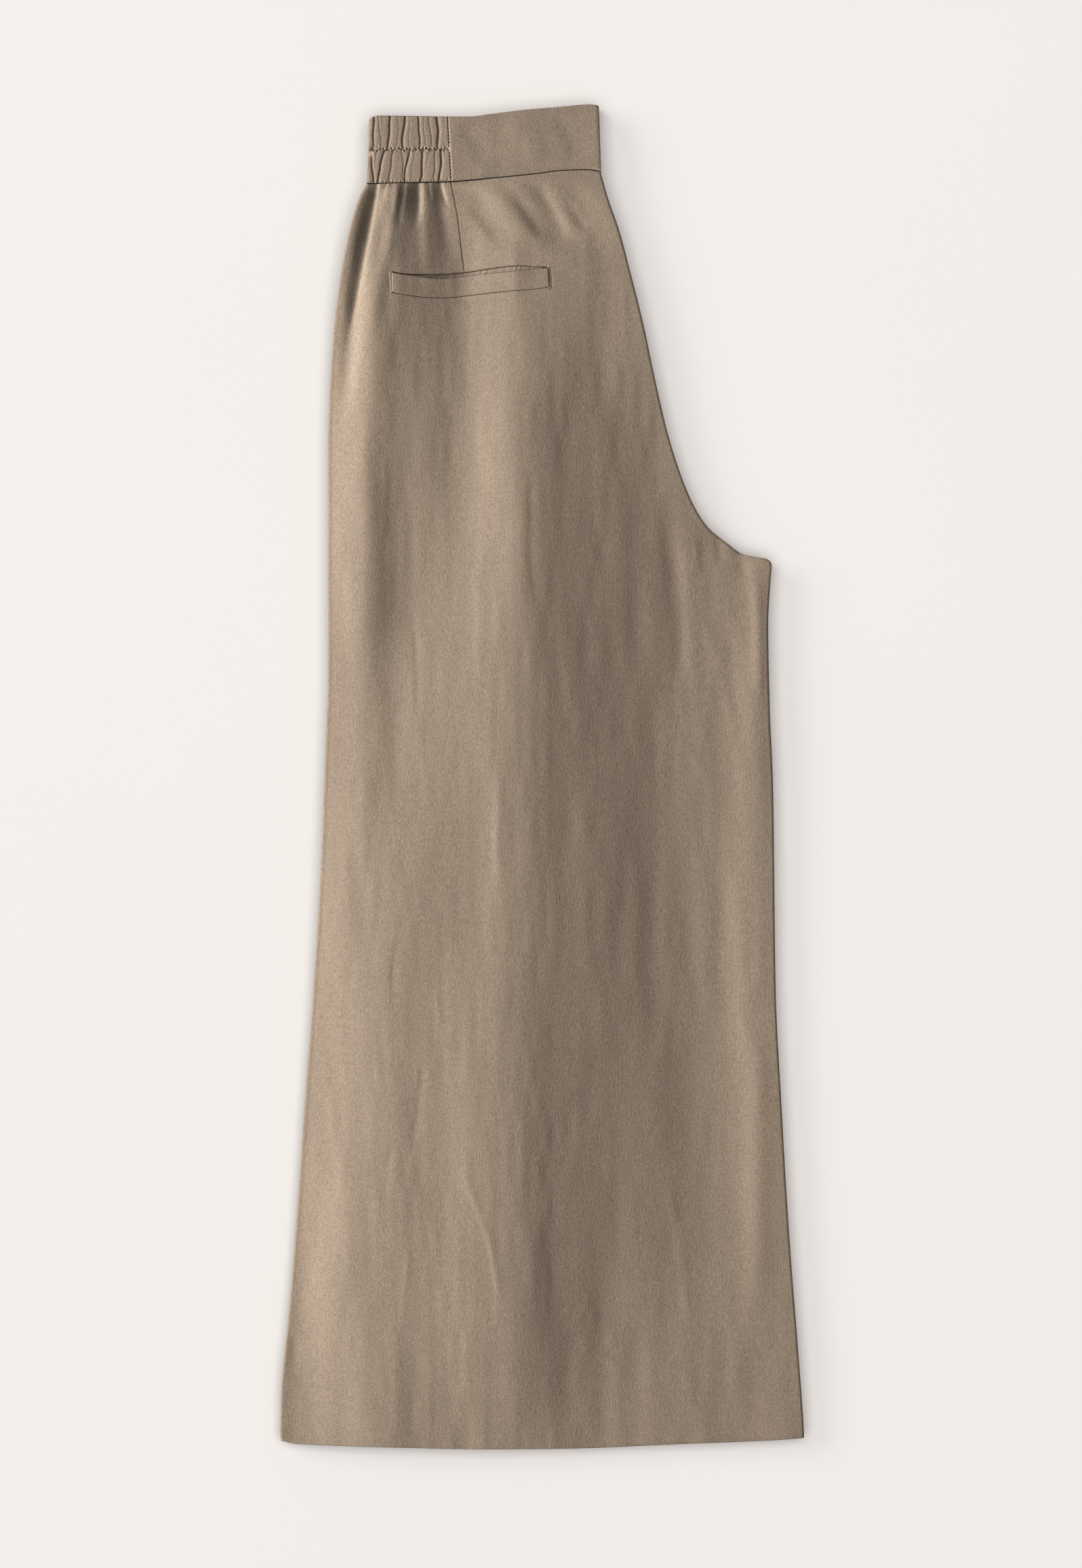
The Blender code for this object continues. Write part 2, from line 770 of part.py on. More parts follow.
def elastic_upper():
    rows = {0.0: [], ELASTIC_CLOTH: []}
    for share in BAND_SHARES:
        section = band_section(share)
        stack, up = band_seams(section)
        shares = np.linspace(0.0, share_at(section, BAND_JOIN_X - HALF_GAP), WAVE_COLUMNS + 1)
        for depth, made in rows.items():

            def height(x, y, depth=depth, share=share):
                return stack_height(y) - gathers(x, share) - top_edge_drop(share) - depth

            middle = face(section, shares, height)
            left = rolled(section, -1, depth, stack / 2 + up + HALF_GAP, middle[0][2], ROLL_ANGLES)
            made.append(left + middle)
    return wall("waistband_elastic_upper", rows[0.0], rows[ELASTIC_CLOTH])


def elastic_lower():
    rows = {0.0: [], ELASTIC_CLOTH: []}
    for share in PLAIN_SHARES:
        section = band_section(share)
        stack, up = band_seams(section)
        shares = (0.0, share_at(section, BAND_JOIN_X - HALF_GAP))
        for depth, made in rows.items():
            middle = face(section, shares, lambda x, y, depth=depth: np.full(len(x), depth))
            left = rolled(section, -1, depth, stack / 2 - up - HALF_GAP, depth, ROLL_ANGLES)
            made.append(left + middle)
    return wall("waistband_elastic_lower", rows[0.0], rows[ELASTIC_CLOTH])


def centre_band():
    """The smooth stretch of waistband, from one join round the centre-back fold to the other."""
    rows = {0.0: [], BAND_CLOTH: []}
    fold_angles = [math.pi / 2 * step / (ARC_STEPS + 1) for step in range(ARC_STEPS + 1)]
    for share in SMOOTH_SHARES:
        section = band_section(share)
        stack, _ = band_seams(section)
        join = share_at(section, BAND_JOIN_X + HALF_GAP)
        over_shares = np.linspace(join, 1.0, 9)
        for depth, made in rows.items():

            def height(x, y, depth=depth, share=share):
                return stack_height(y) - top_edge_drop(share) - depth

            over = face(section, over_shares, height)
            fold_over = rolled(section, 1, depth, stack / 2, over[-1][2], fold_angles[::-1])
            fold_under = rolled(section, 1, depth, stack / 2, depth, fold_angles[1:])
            under_shares = (1.0, *(share_at(section, x) for x in UNDER_BAND_X), join)
            under = face(section, under_shares, lambda x, y, depth=depth: np.full(len(x), depth))
            made.append(over + fold_over + fold_under + under)
    return wall("waistband_centre_back", rows[0.0], rows[BAND_CLOTH])


def front_band():
    """Both legs' front waistbands, folded inside the back ones."""

    def side_depth(_section, side):
        return (ELASTIC_CLOTH if side < 0 else BAND_CLOTH) + LAYER_GAP

    def floor(_section):
        return ELASTIC_CLOTH + LAYER_GAP

    sections, rows = [], []
    for share in PLAIN_SHARES:
        section = band_section(share, recess=HIDDEN_SHORT)
        stack, up = band_seams(section)

        def height(x, y, share=share):
            in_smooth = ease((x - BAND_JOIN_X - JOIN_BLEND.start) / JOIN_BLEND.length)
            cover = ELASTIC_CLOTH + (BAND_CLOTH - ELASTIC_CLOTH) * in_smooth
            room = WAVE_ROOM * (1 - in_smooth)
            return stack_height(y) - cover - LAYER_GAP - room - top_edge_drop(share)

        join = share_at(section, BAND_JOIN_X + JOIN_BLEND.start)
        shares = np.concatenate([np.linspace(0.0, join, 4), np.linspace(join, 1.0, 6)[1:]])
        middle = face(section, shares, height)
        left = rolled(section, -1, side_depth(section, -1), stack / 2 + up, middle[0][2], ROLL_ANGLES)
        right_angles = ROLL_ANGLES[::-1]
        right = rolled(section, 1, side_depth(section, 1), stack / 2, middle[-1][2], right_angles)
        sections.append(section)
        rows.append(left + middle + right)
    return plate(
        "waistband_fronts_folded",
        sections[::-1],
        rows[::-1],
        side_depth,
        floor,
        (GROOVE_IN, 0.0),
    )


# ---- The welt pocket ----


def mouth_y(x):
    """The line of the pocket's closed mouth at a place along it."""
    row = panel_section(SECTIONS[0]._replace(**MOUTH_LINE._asdict()))
    left, right = shoulders(row)
    along = (x - left[0]) / (right[0] - left[0])
    return left[1] + (right[1] - left[1]) * along + row.bend(x)


def pocket_columns(sections):
    """The panel's columns of points that the pocket spans."""
    section = min(sections, key=lambda section: abs(section.left[1] - MOUTH_LINE.left_y))
    first = LINES[1].columns
    last = first + LINES[2].columns + LINES[3].columns
    points = face(section, section.shares[first : last + 1], lambda x, y: np.zeros(len(x)))
    return np.array([point[0] for point in points])


def strip(name, xs, lines, lift, cloth, colour):
    """A strip of cloth on the panel: its lines of points moved out, lift and lift + cloth above."""
    faces = []
    for above in (lift + cloth, lift):
        rows = []
        for y, raised in lines:
            z = stack_height(y) + fold_height(xs, y) + raised + above
            rows.append(list(zip(xs, y, z)))
        faces.append(rows)
    return wall(name, faces[0], faces[1], colour)


def welt(sections):
    xs = pocket_columns(sections)
    mouth = mouth_y(xs)
    rise = WELT_RISE * gape(xs)
    lines = [(mouth - gape(xs) / 2 - SEAM_GAP, rise)]
    lines += [(mouth - line.below, rise * line.rise) for line in WELT_LINES]
    lines += [(mouth - WELT_DEPTH, 0.0 * xs)]
    return strip("pocket_welt_upper", xs, lines, SEAM_GAP, WELT_CLOTH, LINEN)


def facing(sections):
    xs = pocket_columns(sections)
    xs = xs[gape(xs) > FULL_SINK_GAPE]
    mouth = mouth_y(xs)
    top = mouth + gape(xs) / 2 - FACING_TUCK
    low = mouth - gape(xs) / 2 - FACING_DEPTH
    lines = [(y, -MOUTH_SINK + 0.0 * xs) for y in (top, (top + low) / 2, low)]
    return strip("pocket_facing_upper", xs, lines, SEAM_GAP, FACING_CLOTH, LINEN_DARK)


def main():
    for old in list(bpy.data.objects):
        bpy.data.objects.remove(old, do_unlink=True)
    sections = panel_sections()
    back_upper(sections)
    back_lower(sections)
    fronts_folded(sections)
    elastic_upper()
    elastic_lower()
    centre_band()
    front_band()
    welt(sections)
    facing(sections)


main()
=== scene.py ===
# %% [markdown]
# # Linen trousers with wide legs, folded in half and laid flat
#
# The garment lies on a pale surface. It is folded down its centre back, so one leg lies on the
# other and one back panel shows from waist to hem. Every sheet of cloth is built here as a thin
# closed shell over the packed solid that it stands for, from short tables of sizes in
# millimetres. The waist points to +Y, the side seams lie at -X, and +Z is up.
#
# Blender could drape this cloth with its own simulation, but pressed linen keeps creases that a
# simulation does not give, so each crease is a row of a table here, with its own length, width
# and height.

# %% Load the packed frame
import math
from collections import namedtuple

import bpy
import numpy as np
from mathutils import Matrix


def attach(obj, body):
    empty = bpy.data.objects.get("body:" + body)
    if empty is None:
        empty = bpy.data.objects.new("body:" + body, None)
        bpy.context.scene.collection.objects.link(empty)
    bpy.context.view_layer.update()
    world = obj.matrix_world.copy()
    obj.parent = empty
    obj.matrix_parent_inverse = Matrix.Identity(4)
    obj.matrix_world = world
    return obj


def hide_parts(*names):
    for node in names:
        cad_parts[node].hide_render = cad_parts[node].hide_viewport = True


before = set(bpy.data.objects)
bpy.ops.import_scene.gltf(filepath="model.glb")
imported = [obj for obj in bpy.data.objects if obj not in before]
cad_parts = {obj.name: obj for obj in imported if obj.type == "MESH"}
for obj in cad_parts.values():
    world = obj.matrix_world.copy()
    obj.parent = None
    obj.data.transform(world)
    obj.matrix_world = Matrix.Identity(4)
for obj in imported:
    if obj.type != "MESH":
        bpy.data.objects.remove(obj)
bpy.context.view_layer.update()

MM = 0.001  # metres


def table(columns, *rows):
    """Rows of numbers with named columns."""
    row_type = namedtuple("Row", columns)
    return [row_type(*row) for row in rows]


# %% [markdown]
# ## Camera, floor and light
#
# The garment is seen from straight above, as on a copy stand, with a long lens so that its edges
# stay parallel. Low light is what makes shallow folds show, so a broad panel stands low on the
# left. It would make the surface too bright there, so light linking gives its light only to the
# pieces that show from above. Two more panels light the surface and the layers underneath, and a
# weak even fill lights everything.

# %% Camera, floor and light
LENS = 85.0
SENSOR = 36.0
FRAME_HEIGHT = 1.1923  # metres that the frame's long side covers at the level of the cloth
FRAME_CENTRE = (-0.00103, -0.0049)
CLOTH_LEVEL = 0.012

camera = bpy.data.objects.new("camera", bpy.data.cameras.new("camera"))
camera.data.lens = LENS
camera.data.sensor_width = SENSOR
camera.location = (*FRAME_CENTRE, CLOTH_LEVEL + FRAME_HEIGHT * LENS / SENSOR)
bpy.context.scene.collection.objects.link(camera)
bpy.context.scene.camera = camera
bpy.context.scene.view_settings.view_transform = "Standard"

FILL = 0.22
LIGHT_COLOUR = (1.0, 0.985, 0.965)
# Each panel: the direction in which it stands, from +X, its height as an angle over the floor, how
# far away it stands, its size in metres and its power.
PANELS = table(
    "name turn rise away wide tall watts",
    ("raking_light", 179.0, 11.0, 6.0, 4.8, 1.2, 1760.0),
    ("floor_light", 156.0, 22.0, 9.0, 7.0, 3.0, 300.0),
    ("overhead_light", 0.0, 90.0, 6.0, 9.0, 9.0, 400.0),
)
garment_lit, floor_lit = bpy.data.collections.new("garment"), bpy.data.collections.new("floor")
LIT = {"raking_light": garment_lit, "floor_light": floor_lit, "overhead_light": floor_lit}


def light_panel(panel):
    """An area light that looks at the middle of the garment."""
    rise, turn = math.radians(panel.rise), math.radians(panel.turn)
    light = bpy.data.objects.new(panel.name, bpy.data.lights.new(panel.name, "AREA"))
    light.data.shape = "RECTANGLE"
    light.data.size, light.data.size_y = panel.wide, panel.tall
    light.data.energy = panel.watts
    light.data.color = LIGHT_COLOUR
    aside = panel.away * math.cos(rise)
    light.location = (aside * math.cos(turn), aside * math.sin(turn), panel.away * math.sin(rise))
    light.rotation_euler = (math.pi / 2 - rise, 0.0, turn + math.pi / 2)
    light.light_linking.receiver_collection = LIT[panel.name]
    bpy.context.scene.collection.objects.link(light)


for panel in PANELS:
    light_panel(panel)

world = bpy.data.worlds.new("studio")
world.use_nodes = True
world.node_tree.nodes["Background"].inputs["Color"].default_value = (1.0, 1.0, 1.0, 1.0)
world.node_tree.nodes["Background"].inputs["Strength"].default_value = FILL
bpy.context.scene.world = world
print("camera at", tuple(camera.location), "and", len(PANELS), "lights")

# %% [markdown]
# ## Tables, curves and grids
#
# An edge of the garment is a short table of points, and a smooth curve runs through them without
# swinging past any of them. A sheet is a grid of points, rows from the waist down and columns
# from left to right. Its shell has a fine outer side, an inner side with a quarter of the faces,
# because nothing shows of it, and a rim that joins the two.

# %% Smooth curves
def smooth_through(rows, at, column=None):
    """A table's named or second column at places in its first, on a curve that never overshoots."""
    pairs = sorted((row[0], getattr(row, column) if column else row[1]) for row in rows)
    places, values = np.array(pairs, float).T
    steps = np.diff(places)
    slopes = np.diff(values) / steps
    before, after = slopes[:-1], slopes[1:]
    level = before * after <= 0
    total = np.where(level, 1.0, before + after)
    inner = np.where(level, 0.0, 2 * before * after / total)
    tangents = np.concatenate([slopes[:1], inner, slopes[-1:]])
    at = np.clip(np.asarray(at, float), places[0], places[-1])
    k = np.clip(np.searchsorted(places, at, side="right") - 1, 0, len(steps) - 1)
    t = (at - places[k]) / steps[k]
    ends = values[k] * (1 + 2 * t) * (1 - t) ** 2 + values[k + 1] * t**2 * (3 - 2 * t)
    leans = tangents[k] * t * (1 - t) ** 2 - tangents[k + 1] * t**2 * (1 - t)
    return ends + leans * steps[k]


def ease(value):
    """0 below 0, 1 above 1, and smooth between."""
    value = np.clip(value, 0.0, 1.0)
    return value * value * (3 - 2 * value)


def spaced(stops):
    """Places along a table of stops, each row with the number of steps that lead up to it."""
    places = [stops[0][0]]
    for stop in stops[1:]:
        places += list(np.linspace(places[-1], stop[0], stop[1] + 1)[1:])
    return np.array(places)


peak = smooth_through([(0, 0), (1, 1), (2, 0)], np.linspace(0.0, 2.0, 5))
print("a curve through 0, 1 and 0 passes", peak)

# %% Grids of points as meshes
SHARP_ANGLE = math.radians(62)  # an edge bent more than this is shaded sharp


def grid_faces(rows, columns, first=0, flip=False):
    """Four-sided faces between the points of a grid, facing up where rows run down the garment."""
    row, column = np.meshgrid(np.arange(rows - 1), np.arange(columns - 1), indexing="ij")
    corner = (first + row * columns + column).ravel()
    faces = np.stack([corner, corner + columns, corner + columns + 1, corner + 1], axis=1)
    return (faces[:, ::-1] if flip else faces).tolist()


def rim_indices(rows, columns, first=0):
    """The points round a grid's border, once round: down the left side first."""
    numbers = first + np.arange(rows * columns).reshape(rows, columns)
    sides = (numbers[:, 0], numbers[-1, 1:], numbers[-2::-1, -1], numbers[0, -2:0:-1])
    return np.concatenate(sides).tolist()


def add_mesh(name, points, faces):
    """A smooth-shaded object from points in millimetres."""
    data = bpy.data.meshes.new(name)
    data.from_pydata((np.asarray(points, float).reshape(-1, 3) * MM).tolist(), [], faces)
    data.shade_smooth()
    data.set_sharp_from_angle(angle=SHARP_ANGLE)
    made = bpy.data.objects.new(name, data)
    bpy.context.scene.collection.objects.link(made)
    return made


def shell(name, outer, inner):
    """A closed sheet: a fine outer grid, every second point of the inner one, and the rim."""
    rows, columns = outer.shape[:2]
    assert rows % 2 and columns % 2, f"{name} needs odd numbers of rows and columns"
    inner = inner[::2, ::2]
    few_rows, few_columns = inner.shape[:2]
    first = rows * columns
    faces = grid_faces(rows, columns) + grid_faces(few_rows, few_columns, first, flip=True)
    fine, coarse = rim_indices(rows, columns), rim_indices(few_rows, few_columns, first)
    for k in range(len(coarse)):
        after = (k + 1) % len(coarse)
        three = [fine[2 * k], fine[2 * k + 1], fine[(2 * k + 2) % len(fine)]]
        faces.append([coarse[k], coarse[after], *three[::-1]])
    points = np.concatenate([outer.reshape(-1, 3), inner.reshape(-1, 3)])
    made = add_mesh(name, points, faces)
    print(f"{name}: {rows} by {columns} points outside, {few_rows} by {few_columns} inside")
    return made


print("3 by 3 points make", len(grid_faces(3, 3)), "faces, with", len(rim_indices(3, 3)), "on the rim")

# %% [markdown]
# ## The garment's sizes
#
# These are the sizes that the pattern and the fold give: how thick the cloth and the bands are,
# where the elastic stretch of the waistband ends, how deep the hem is, and where the pocket's
# welt sits. The edges are tables of a few points each: the side seams, the centre-back seam with
# the crotch's rounded ledge and the inseam below it, and the waist and hem lines.

# %% Sizes
CLOTH = 1.0
HEM_CLOTH = 1.7
HEM_DEPTH = 52.0
BAND_CLOTH = 2.0
ELASTIC_CLOTH = 2.2
BAND_JOIN_X = -71.0  # where the elastic ends, half way down the band
STITCH_ROW = 0.49  # share of the waistband's depth at which a row of stitching crosses the elastic
WELT_LENGTH = 120.0
WELT_DEPTH = 15.5
MOUTH_SINK = 2.2  # how far the panel sinks at the pocket's mouth
MOUTH_LEFT_Y = 382.4  # where the mouth's row starts on the side edge
FACING_DEPTH = 6.0  # how far below the welt's top edge the facing ends
# The rows round the pocket hang in a bow: its middle, its size, and how far up and down it reaches.
POCKET_SAG = table("x y width drop reach fade", (-75.0, 380.0, 34.0, 4.0, 60.0, 40.0))[0]
WAIST_LEFT_Y = 451.35  # where the panels start on the side edge
print("the cloth is", CLOTH, "mm thick and the pocket's welt", WELT_LENGTH, "by", WELT_DEPTH, "mm")

# %% Edges
SIDE_EDGE = table(
    "y x",
    (455, -132.6), (451.5, -133.5), (441, -138.7), (416, -146.4), (385, -152.6), (344, -158.2),
    (302, -161.3), (251, -162.9), (86, -162.9), (24, -164.9), (-69, -168.6), (-161, -174.2),
    (-254, -181.4), (-347, -188.1), (-409, -193.3), (-471, -199.0), (-502, -199.5),
    (-507, -198.0),
)
CENTRE_EDGE = table(
    "y x",
    (465, 41.0), (460.5, 43.6), (441, 49.5), (416, 58.2), (385, 66.5), (344, 76.8), (302, 85.7),
    (261, 95.4), (230, 105.2), (210, 113.4), (199.5, 119.1), (189, 126.8), (179, 139.2),
    (172.7, 147.4), (170.1, 151.5), (168, 159.8), (166, 171.0), (162, 174.2), (148, 173.2),
    (117, 171.6), (55, 172.7), (-7, 175.3), (-160, 177.3), (-254, 182.0), (-347, 187.6),
    (-440, 194.8), (-495, 198.8), (-504, 199.2),
)
WAIST_SEAM = table(
    "x y",
    (-134, 451.5), (-104, 452.3), (-70, 453.2), (-34, 456.0), (-3, 459.0), (15, 461.3),
    (34, 461.9), (45, 460.4),
)
WAIST_TOP = table(
    "x y",
    (-132.0, 499.5), (-129.5, 502.0), (-125, 503.1), (-56, 502.1), (-39, 504.1), (-14, 507.2),
    (11, 509.3), (36, 511.3), (42, 510.6), (44, 509.0),
)
HEM_LINE = table(
    "x y",
    (-199, -505.5), (-186, -508.2), (-124, -509.8), (-50, -511.3), (24, -510.8), (98, -507.7),
    (173, -504.6), (199, -502.6),
)
BAND_EDGES = table("share left right", (0.0, -133.5, 44.6), (0.5, -132.2, 43.8), (1.0, -131.8, 42.9))
STACK = table(
    "y height",
    (512, 15.0), (480, 16.5), (440, 17.0), (380, 16.0), (300, 15.0), (0, 14.5), (-300, 13.5),
    (-440, 12.5), (-500, 11.0), (-512, 10.4),
)
# How a row of the panel is skewed from the side edge to the centre edge, and how far the legs are
# apart there: 0 round the centre back, 1 where each leg has an inseam.
SECTIONS = table(
    "left_y right_y apart",
    (WAIST_LEFT_Y, 460.3, 0.0), (434.0, 442.4, 0.0), (400.0, 407.6, 0.0), (382.4, 389.7, 0.0),
    (355.0, 360.0, 0.0), (325.0, 327.5, 0.0), (285.0, 285.0, 0.0), (245.0, 243.0, 0.0),
    (217.0, 212.0, 0.0), (199.0, 193.0, 0.0), (187.0, 181.0, 0.0), (179.0, 173.4, 0.0),
    (173.0, 169.3, 0.0), (168.0, 167.6, 0.3), (163.5, 165.9, 0.6), (159.0, 162.3, 0.8),
    (151.0, 154.0, 1.0), (136.0, 138.0, 1.0), (105.0, 106.0, 1.0), (45.0, 45.0, 1.0),
    (-305.0, -305.0, 1.0), (-375.0, -375.0, 1.0), (-452.0, -449.5, 1.0), (-505.5, -502.6, 1.0),
)
EDGE_ROLL = 2.0  # how far in from an edge the cloth reaches its face
CORNER = 0.12  # radius at the top of an edge
WALL_TURN = math.radians(36)  # the part of a roll's turn that goes straight up its edge
HEM_STEP = 3.0  # length over which the cloth thickens into the hem


def stack_height(y):
    """Height of all the layers together, before the folds."""
    return smooth_through(STACK, y)


def leg_cloth(left_y):
    """How thick a leg's cloth is at rows named by their starts: the hem is doubled."""
    in_hem = ease((HEM_LINE[0].y + HEM_DEPTH - left_y) / HEM_STEP)
    return CLOTH + (HEM_CLOTH - CLOTH) * in_hem


print("the folded leg is", WAIST_LEFT_Y - HEM_LINE[0].y, "mm long below the waistband")

# %% [markdown]
# ## Folds and creases
#
# The folded leg is not flat. Deep gathers hang from the elastic, broad soft waves run down the
# leg, and short creases from wearing and ironing cross them. Each is a row of a table: where it
# starts and ends, how far it bows, how wide and how high it is, and how much steeper one side is
# than the other. Their heights add up to one height for each place on the cloth.

# %% Broad folds, which the solids have too
FOLDS = table(
    "top_x top_y mid_x mid_y end_x end_y width rise fade_in fade_out",
    # gathers that hang from the elastic
    (-122.6, 456, -135.8, 400, -153.0, 262, 6.3, -1.4, 16, 70),
    (-108.4, 456, -116.6, 410, -133.0, 320, 5.6, 0.8, 14, 90),
    (-114.0, 440, -121.0, 400, -118.0, 320, 9.0, -1.2, 30, 80),
    (-93.4, 456, -96.6, 420, -105.6, 370, 8.2, -0.8, 10, 70),
    (-89.1, 456, -88.8, 420, -83.4, 370, 4.4, 0.3, 10, 70),
    (-80.4, 456, -74.8, 420, -68.9, 380, 5.2, -0.6, 10, 60),
    # slanting waves across the seat
    (-54.0, 452, -33.4, 420, -15.0, 395, 12.0, -0.8, 14, 25),
    (-32.0, 456, -6.6, 425, 14.0, 395, 12.0, -0.9, 14, 25),
    (-6.5, 456, 8.1, 430, 23.0, 395, 12.0, -1.5, 14, 25),
    (16.0, 456, 31.1, 430, 46.0, 385, 12.0, -0.8, 14, 40),
    # the valley beside the dart, which runs on down the seat
    (-70.0, 470, -60.0, 300, -74.0, 20, 31.0, -3.4, 30, 240),
    # the leg: its side edge falls, its middle is full of air, and the right is hollow
    (-175.0, 452, -190.0, 100, -192.0, -640, 29.0, -4.9, 170, 400),
    (-118.0, 440, -132.6, 200, -135.4, -100, 15.0, 1.2, 60, 250),
    (-40.4, 420, -20.0, 60, -41.0, -600, 73.0, 6.1, 170, 200),
    (-114.4, 120, -115.0, -200, -137.0, -640, 36.0, 2.2, 260, 200),
    (155.0, 300, 118.0, 60, 135.5, -460, 48.0, -1.7, 160, 160),
    (165.0, 120, 161.0, -100, 167.4, -440, 14.0, 0.8, 80, 120),
)


def course(fold, y):
    """Where the line through a fold's three points lies across the garment, at heights y up it."""
    points = [(fold.top_y, fold.top_x), (fold.mid_y, fold.mid_x), (fold.end_y, fold.end_x)]
    return smooth_through(points, y)


def fold_height(x, y):
    """Height that the broad folds add, each a round ridge or valley along its course."""
    total = np.zeros(np.broadcast(x, y).shape)
    for fold in FOLDS:
        fades = ease((fold.top_y - y) / fold.fade_in) * ease((y - fold.end_y) / fold.fade_out)
        total = total + fold.rise * fades * np.exp(-(((x - course(fold, y)) / fold.width) ** 2))
    return total


print(len(FOLDS), "broad folds, the highest", max(fold.rise for fold in FOLDS), "mm")

# %% Creases listed one by one
CREASE_COLUMNS = "from_x from_y to_x to_y bow width rise lean"
CREASES = table(
    CREASE_COLUMNS,
    # the cloth that the gathers turn away from the light
    (-131.0, 400, -137.0, 60, 2, 26.0, 1.4, 0.1),
    (-140.0, 440, -156.0, 330, 0, 9.0, 0.9, 0.2),
    (-96.0, 90, -108.0, 250, 0, 18.0, -0.7, 0.0),
    (-112.0, 456, -116.0, 424, 0, 3.2, -0.25, -0.3),
    (-105.5, 456, -109.8, 417, -1, 3.0, -0.3, -0.3),
    # across the smooth side of the seat
    (-57, 438, -29, 402, 1, 5.0, -0.3, 0.2),
    (-24, 446, 2, 408, 1, 5.0, -0.3, 0.2),
    (16, 441, 36, 411, 0, 4.0, -0.25, 0.0),
    (0.5, 452, 24, 410, 1, 4.5, 0.3, 0.2),
    # short irregular creases low on the left
    (-122, -60, -132, -150, 3, 3.0, -0.12, 0.3),
    (-104, -95, -113, -175, -3, 2.6, -0.1, 0.3),
    (-150, -40, -158, -120, 2, 2.8, 0.12, 0.3),
    (-141, -130, -149, -190, -2, 2.4, -0.1, 0.2),
    (-126, -180, -118, -250, 2, 2.6, -0.1, 0.2),
    (-92, -200, -100, -290, 3, 2.8, -0.12, 0.3),
    (-160, -230, -152, -300, -3, 2.8, 0.12, 0.3),
    (-112, -270, -120, -340, -2, 2.4, -0.1, 0.3),
    (-80, -150, -84, -230, 2, 2.6, 0.1, 0.3),
    (-136, -300, -130, -390, 2, 2.8, -0.12, 0.2),
    (-98, -350, -106, -430, -3, 2.6, 0.12, 0.3),
    (-150, -390, -158, -450, 2, 2.4, -0.1, 0.3),
    (-125, -420, -118, -480, -2, 2.6, 0.12, 0.3),
    (-120, 250, -124, 170, 2, 2.6, 0.12, 0.3),
    (-146, 190, -150, 110, -2, 2.6, -0.1, 0.3),
    (-100, 130, -94, 40, 2, 2.8, -0.1, 0.3),
    # the middle of the leg
    (-52, 180, -48, 60, 2, 3.4, 0.1, 0.3),
    (-8, 240, -4, 120, -2, 3.4, -0.1, 0.3),
    (10, 120, 14, 10, 2, 3.2, -0.1, 0.3),
    (-30, 60, -34, -80, -2, 3.2, 0.1, 0.3),
    (92, 205, 100, 30, 4, 5.0, -0.3, 0.3),
    (116, 138, 152, -18, 6, 2.8, 0.2, 0.4),
    (94, 85, 108, 35, 2, 2.4, 0.16, 0.4),
    (96, 38, 130, -12, 3, 2.2, 0.16, 0.3),
    (68, -139, 95, -116, -5, 2.0, 0.12, 0.2),
    (40, -40, 46, -120, 2, 3.2, 0.1, 0.3),
    (150, -120, 158, -220, -2, 3.2, 0.12, 0.3),
    (20, -240, 14, -320, 2, 3.0, -0.1, 0.3),
    # the long bowed crease above the hem and the short ones beside it
    (-68, -291, -31, -410, 8, 2.6, 0.17, 0.55),
    (36, -395, 18, -432, -1, 1.6, 0.16, 0.5),
    (35, -395, 41, -436, 2, 1.4, 0.16, -0.5),
    (41, -436, 55, -448, 0, 1.4, 0.12, 0.3),
    (53, -416, 52, -435, 0, 1.3, 0.12, 0.3),
    (88, -285, 112, -446, 5, 2.6, 0.16, 0.5),
    (112, -446, 117, -500, 0, 2.6, 0.14, 0.4),
    (-189, -420, -189, -458, 0, 3.0, -0.3, 0.3),
    (-174, -482, -165, -505, 0, 2.0, 0.16, 0.5),
    # round the crotch
    (131, 186, 136, 158, 1, 2.6, -0.35, 0.3),
    (147, 178, 154, 150, 1, 2.4, -0.35, 0.3),
    (116.5, 186, 117.5, 154, 0, 1.3, 0.2, 0.5),
    (161, 168, 165, 50, 1, 4.5, 0.55, 0.2),
    (139, 120, 146, 40, 2, 3.2, -0.2, 0.2),
    (100, 190, 106, 60, 2, 4.0, -0.35, 0.2),
)
CREASE_ENDS = 0.3  # share of a crease's length over which each end fades
RAG_LENGTH = 14.0  # a crease changes its depth and its course about this often
RAG_SWING = 1.1
RAG_WIDTH = 3.5  # a crease wider than this stays smooth
RAG_SEED = 100


def crease_height(x, y, creases, ends=CREASE_ENDS, ragged=0.0):
    """Height that the creases of a table add, each a ridge or trough along a bowed line."""
    total = np.zeros(np.broadcast(x, y).shape)
    for crease in creases:
        run, rise = crease.to_x - crease.from_x, crease.to_y - crease.from_y
        length = math.hypot(run, rise)
        along = ((x - crease.from_x) * run + (y - crease.from_y) * rise) / length**2
        across = ((y - crease.from_y) * run - (x - crease.from_x) * rise) / length
        inside = np.clip(along, 0.0, 1.0)
        across = across - crease.bow * 4 * inside * (1 - inside)
        fades = ease(along / ends) * ease((1 - along) / ends)
        if ragged and crease.width < RAG_WIDTH:
            steps = np.arange(0.0, 1.0 + RAG_LENGTH / length, RAG_LENGTH / length)
            draw = np.random.default_rng(round(RAG_SEED + length))
            fades = fades * np.interp(inside, steps, draw.uniform(1 - ragged, 1 + ragged, len(steps)))
            across = across + np.interp(inside, steps, draw.uniform(-1, 1, len(steps)) * RAG_SWING)
        side = across / (crease.width * (1 + crease.lean * np.tanh(across / crease.width)))
        total = total + crease.rise * fades * np.exp(-(side**2))
    return total


print(len(CREASES), "creases on the back panel")

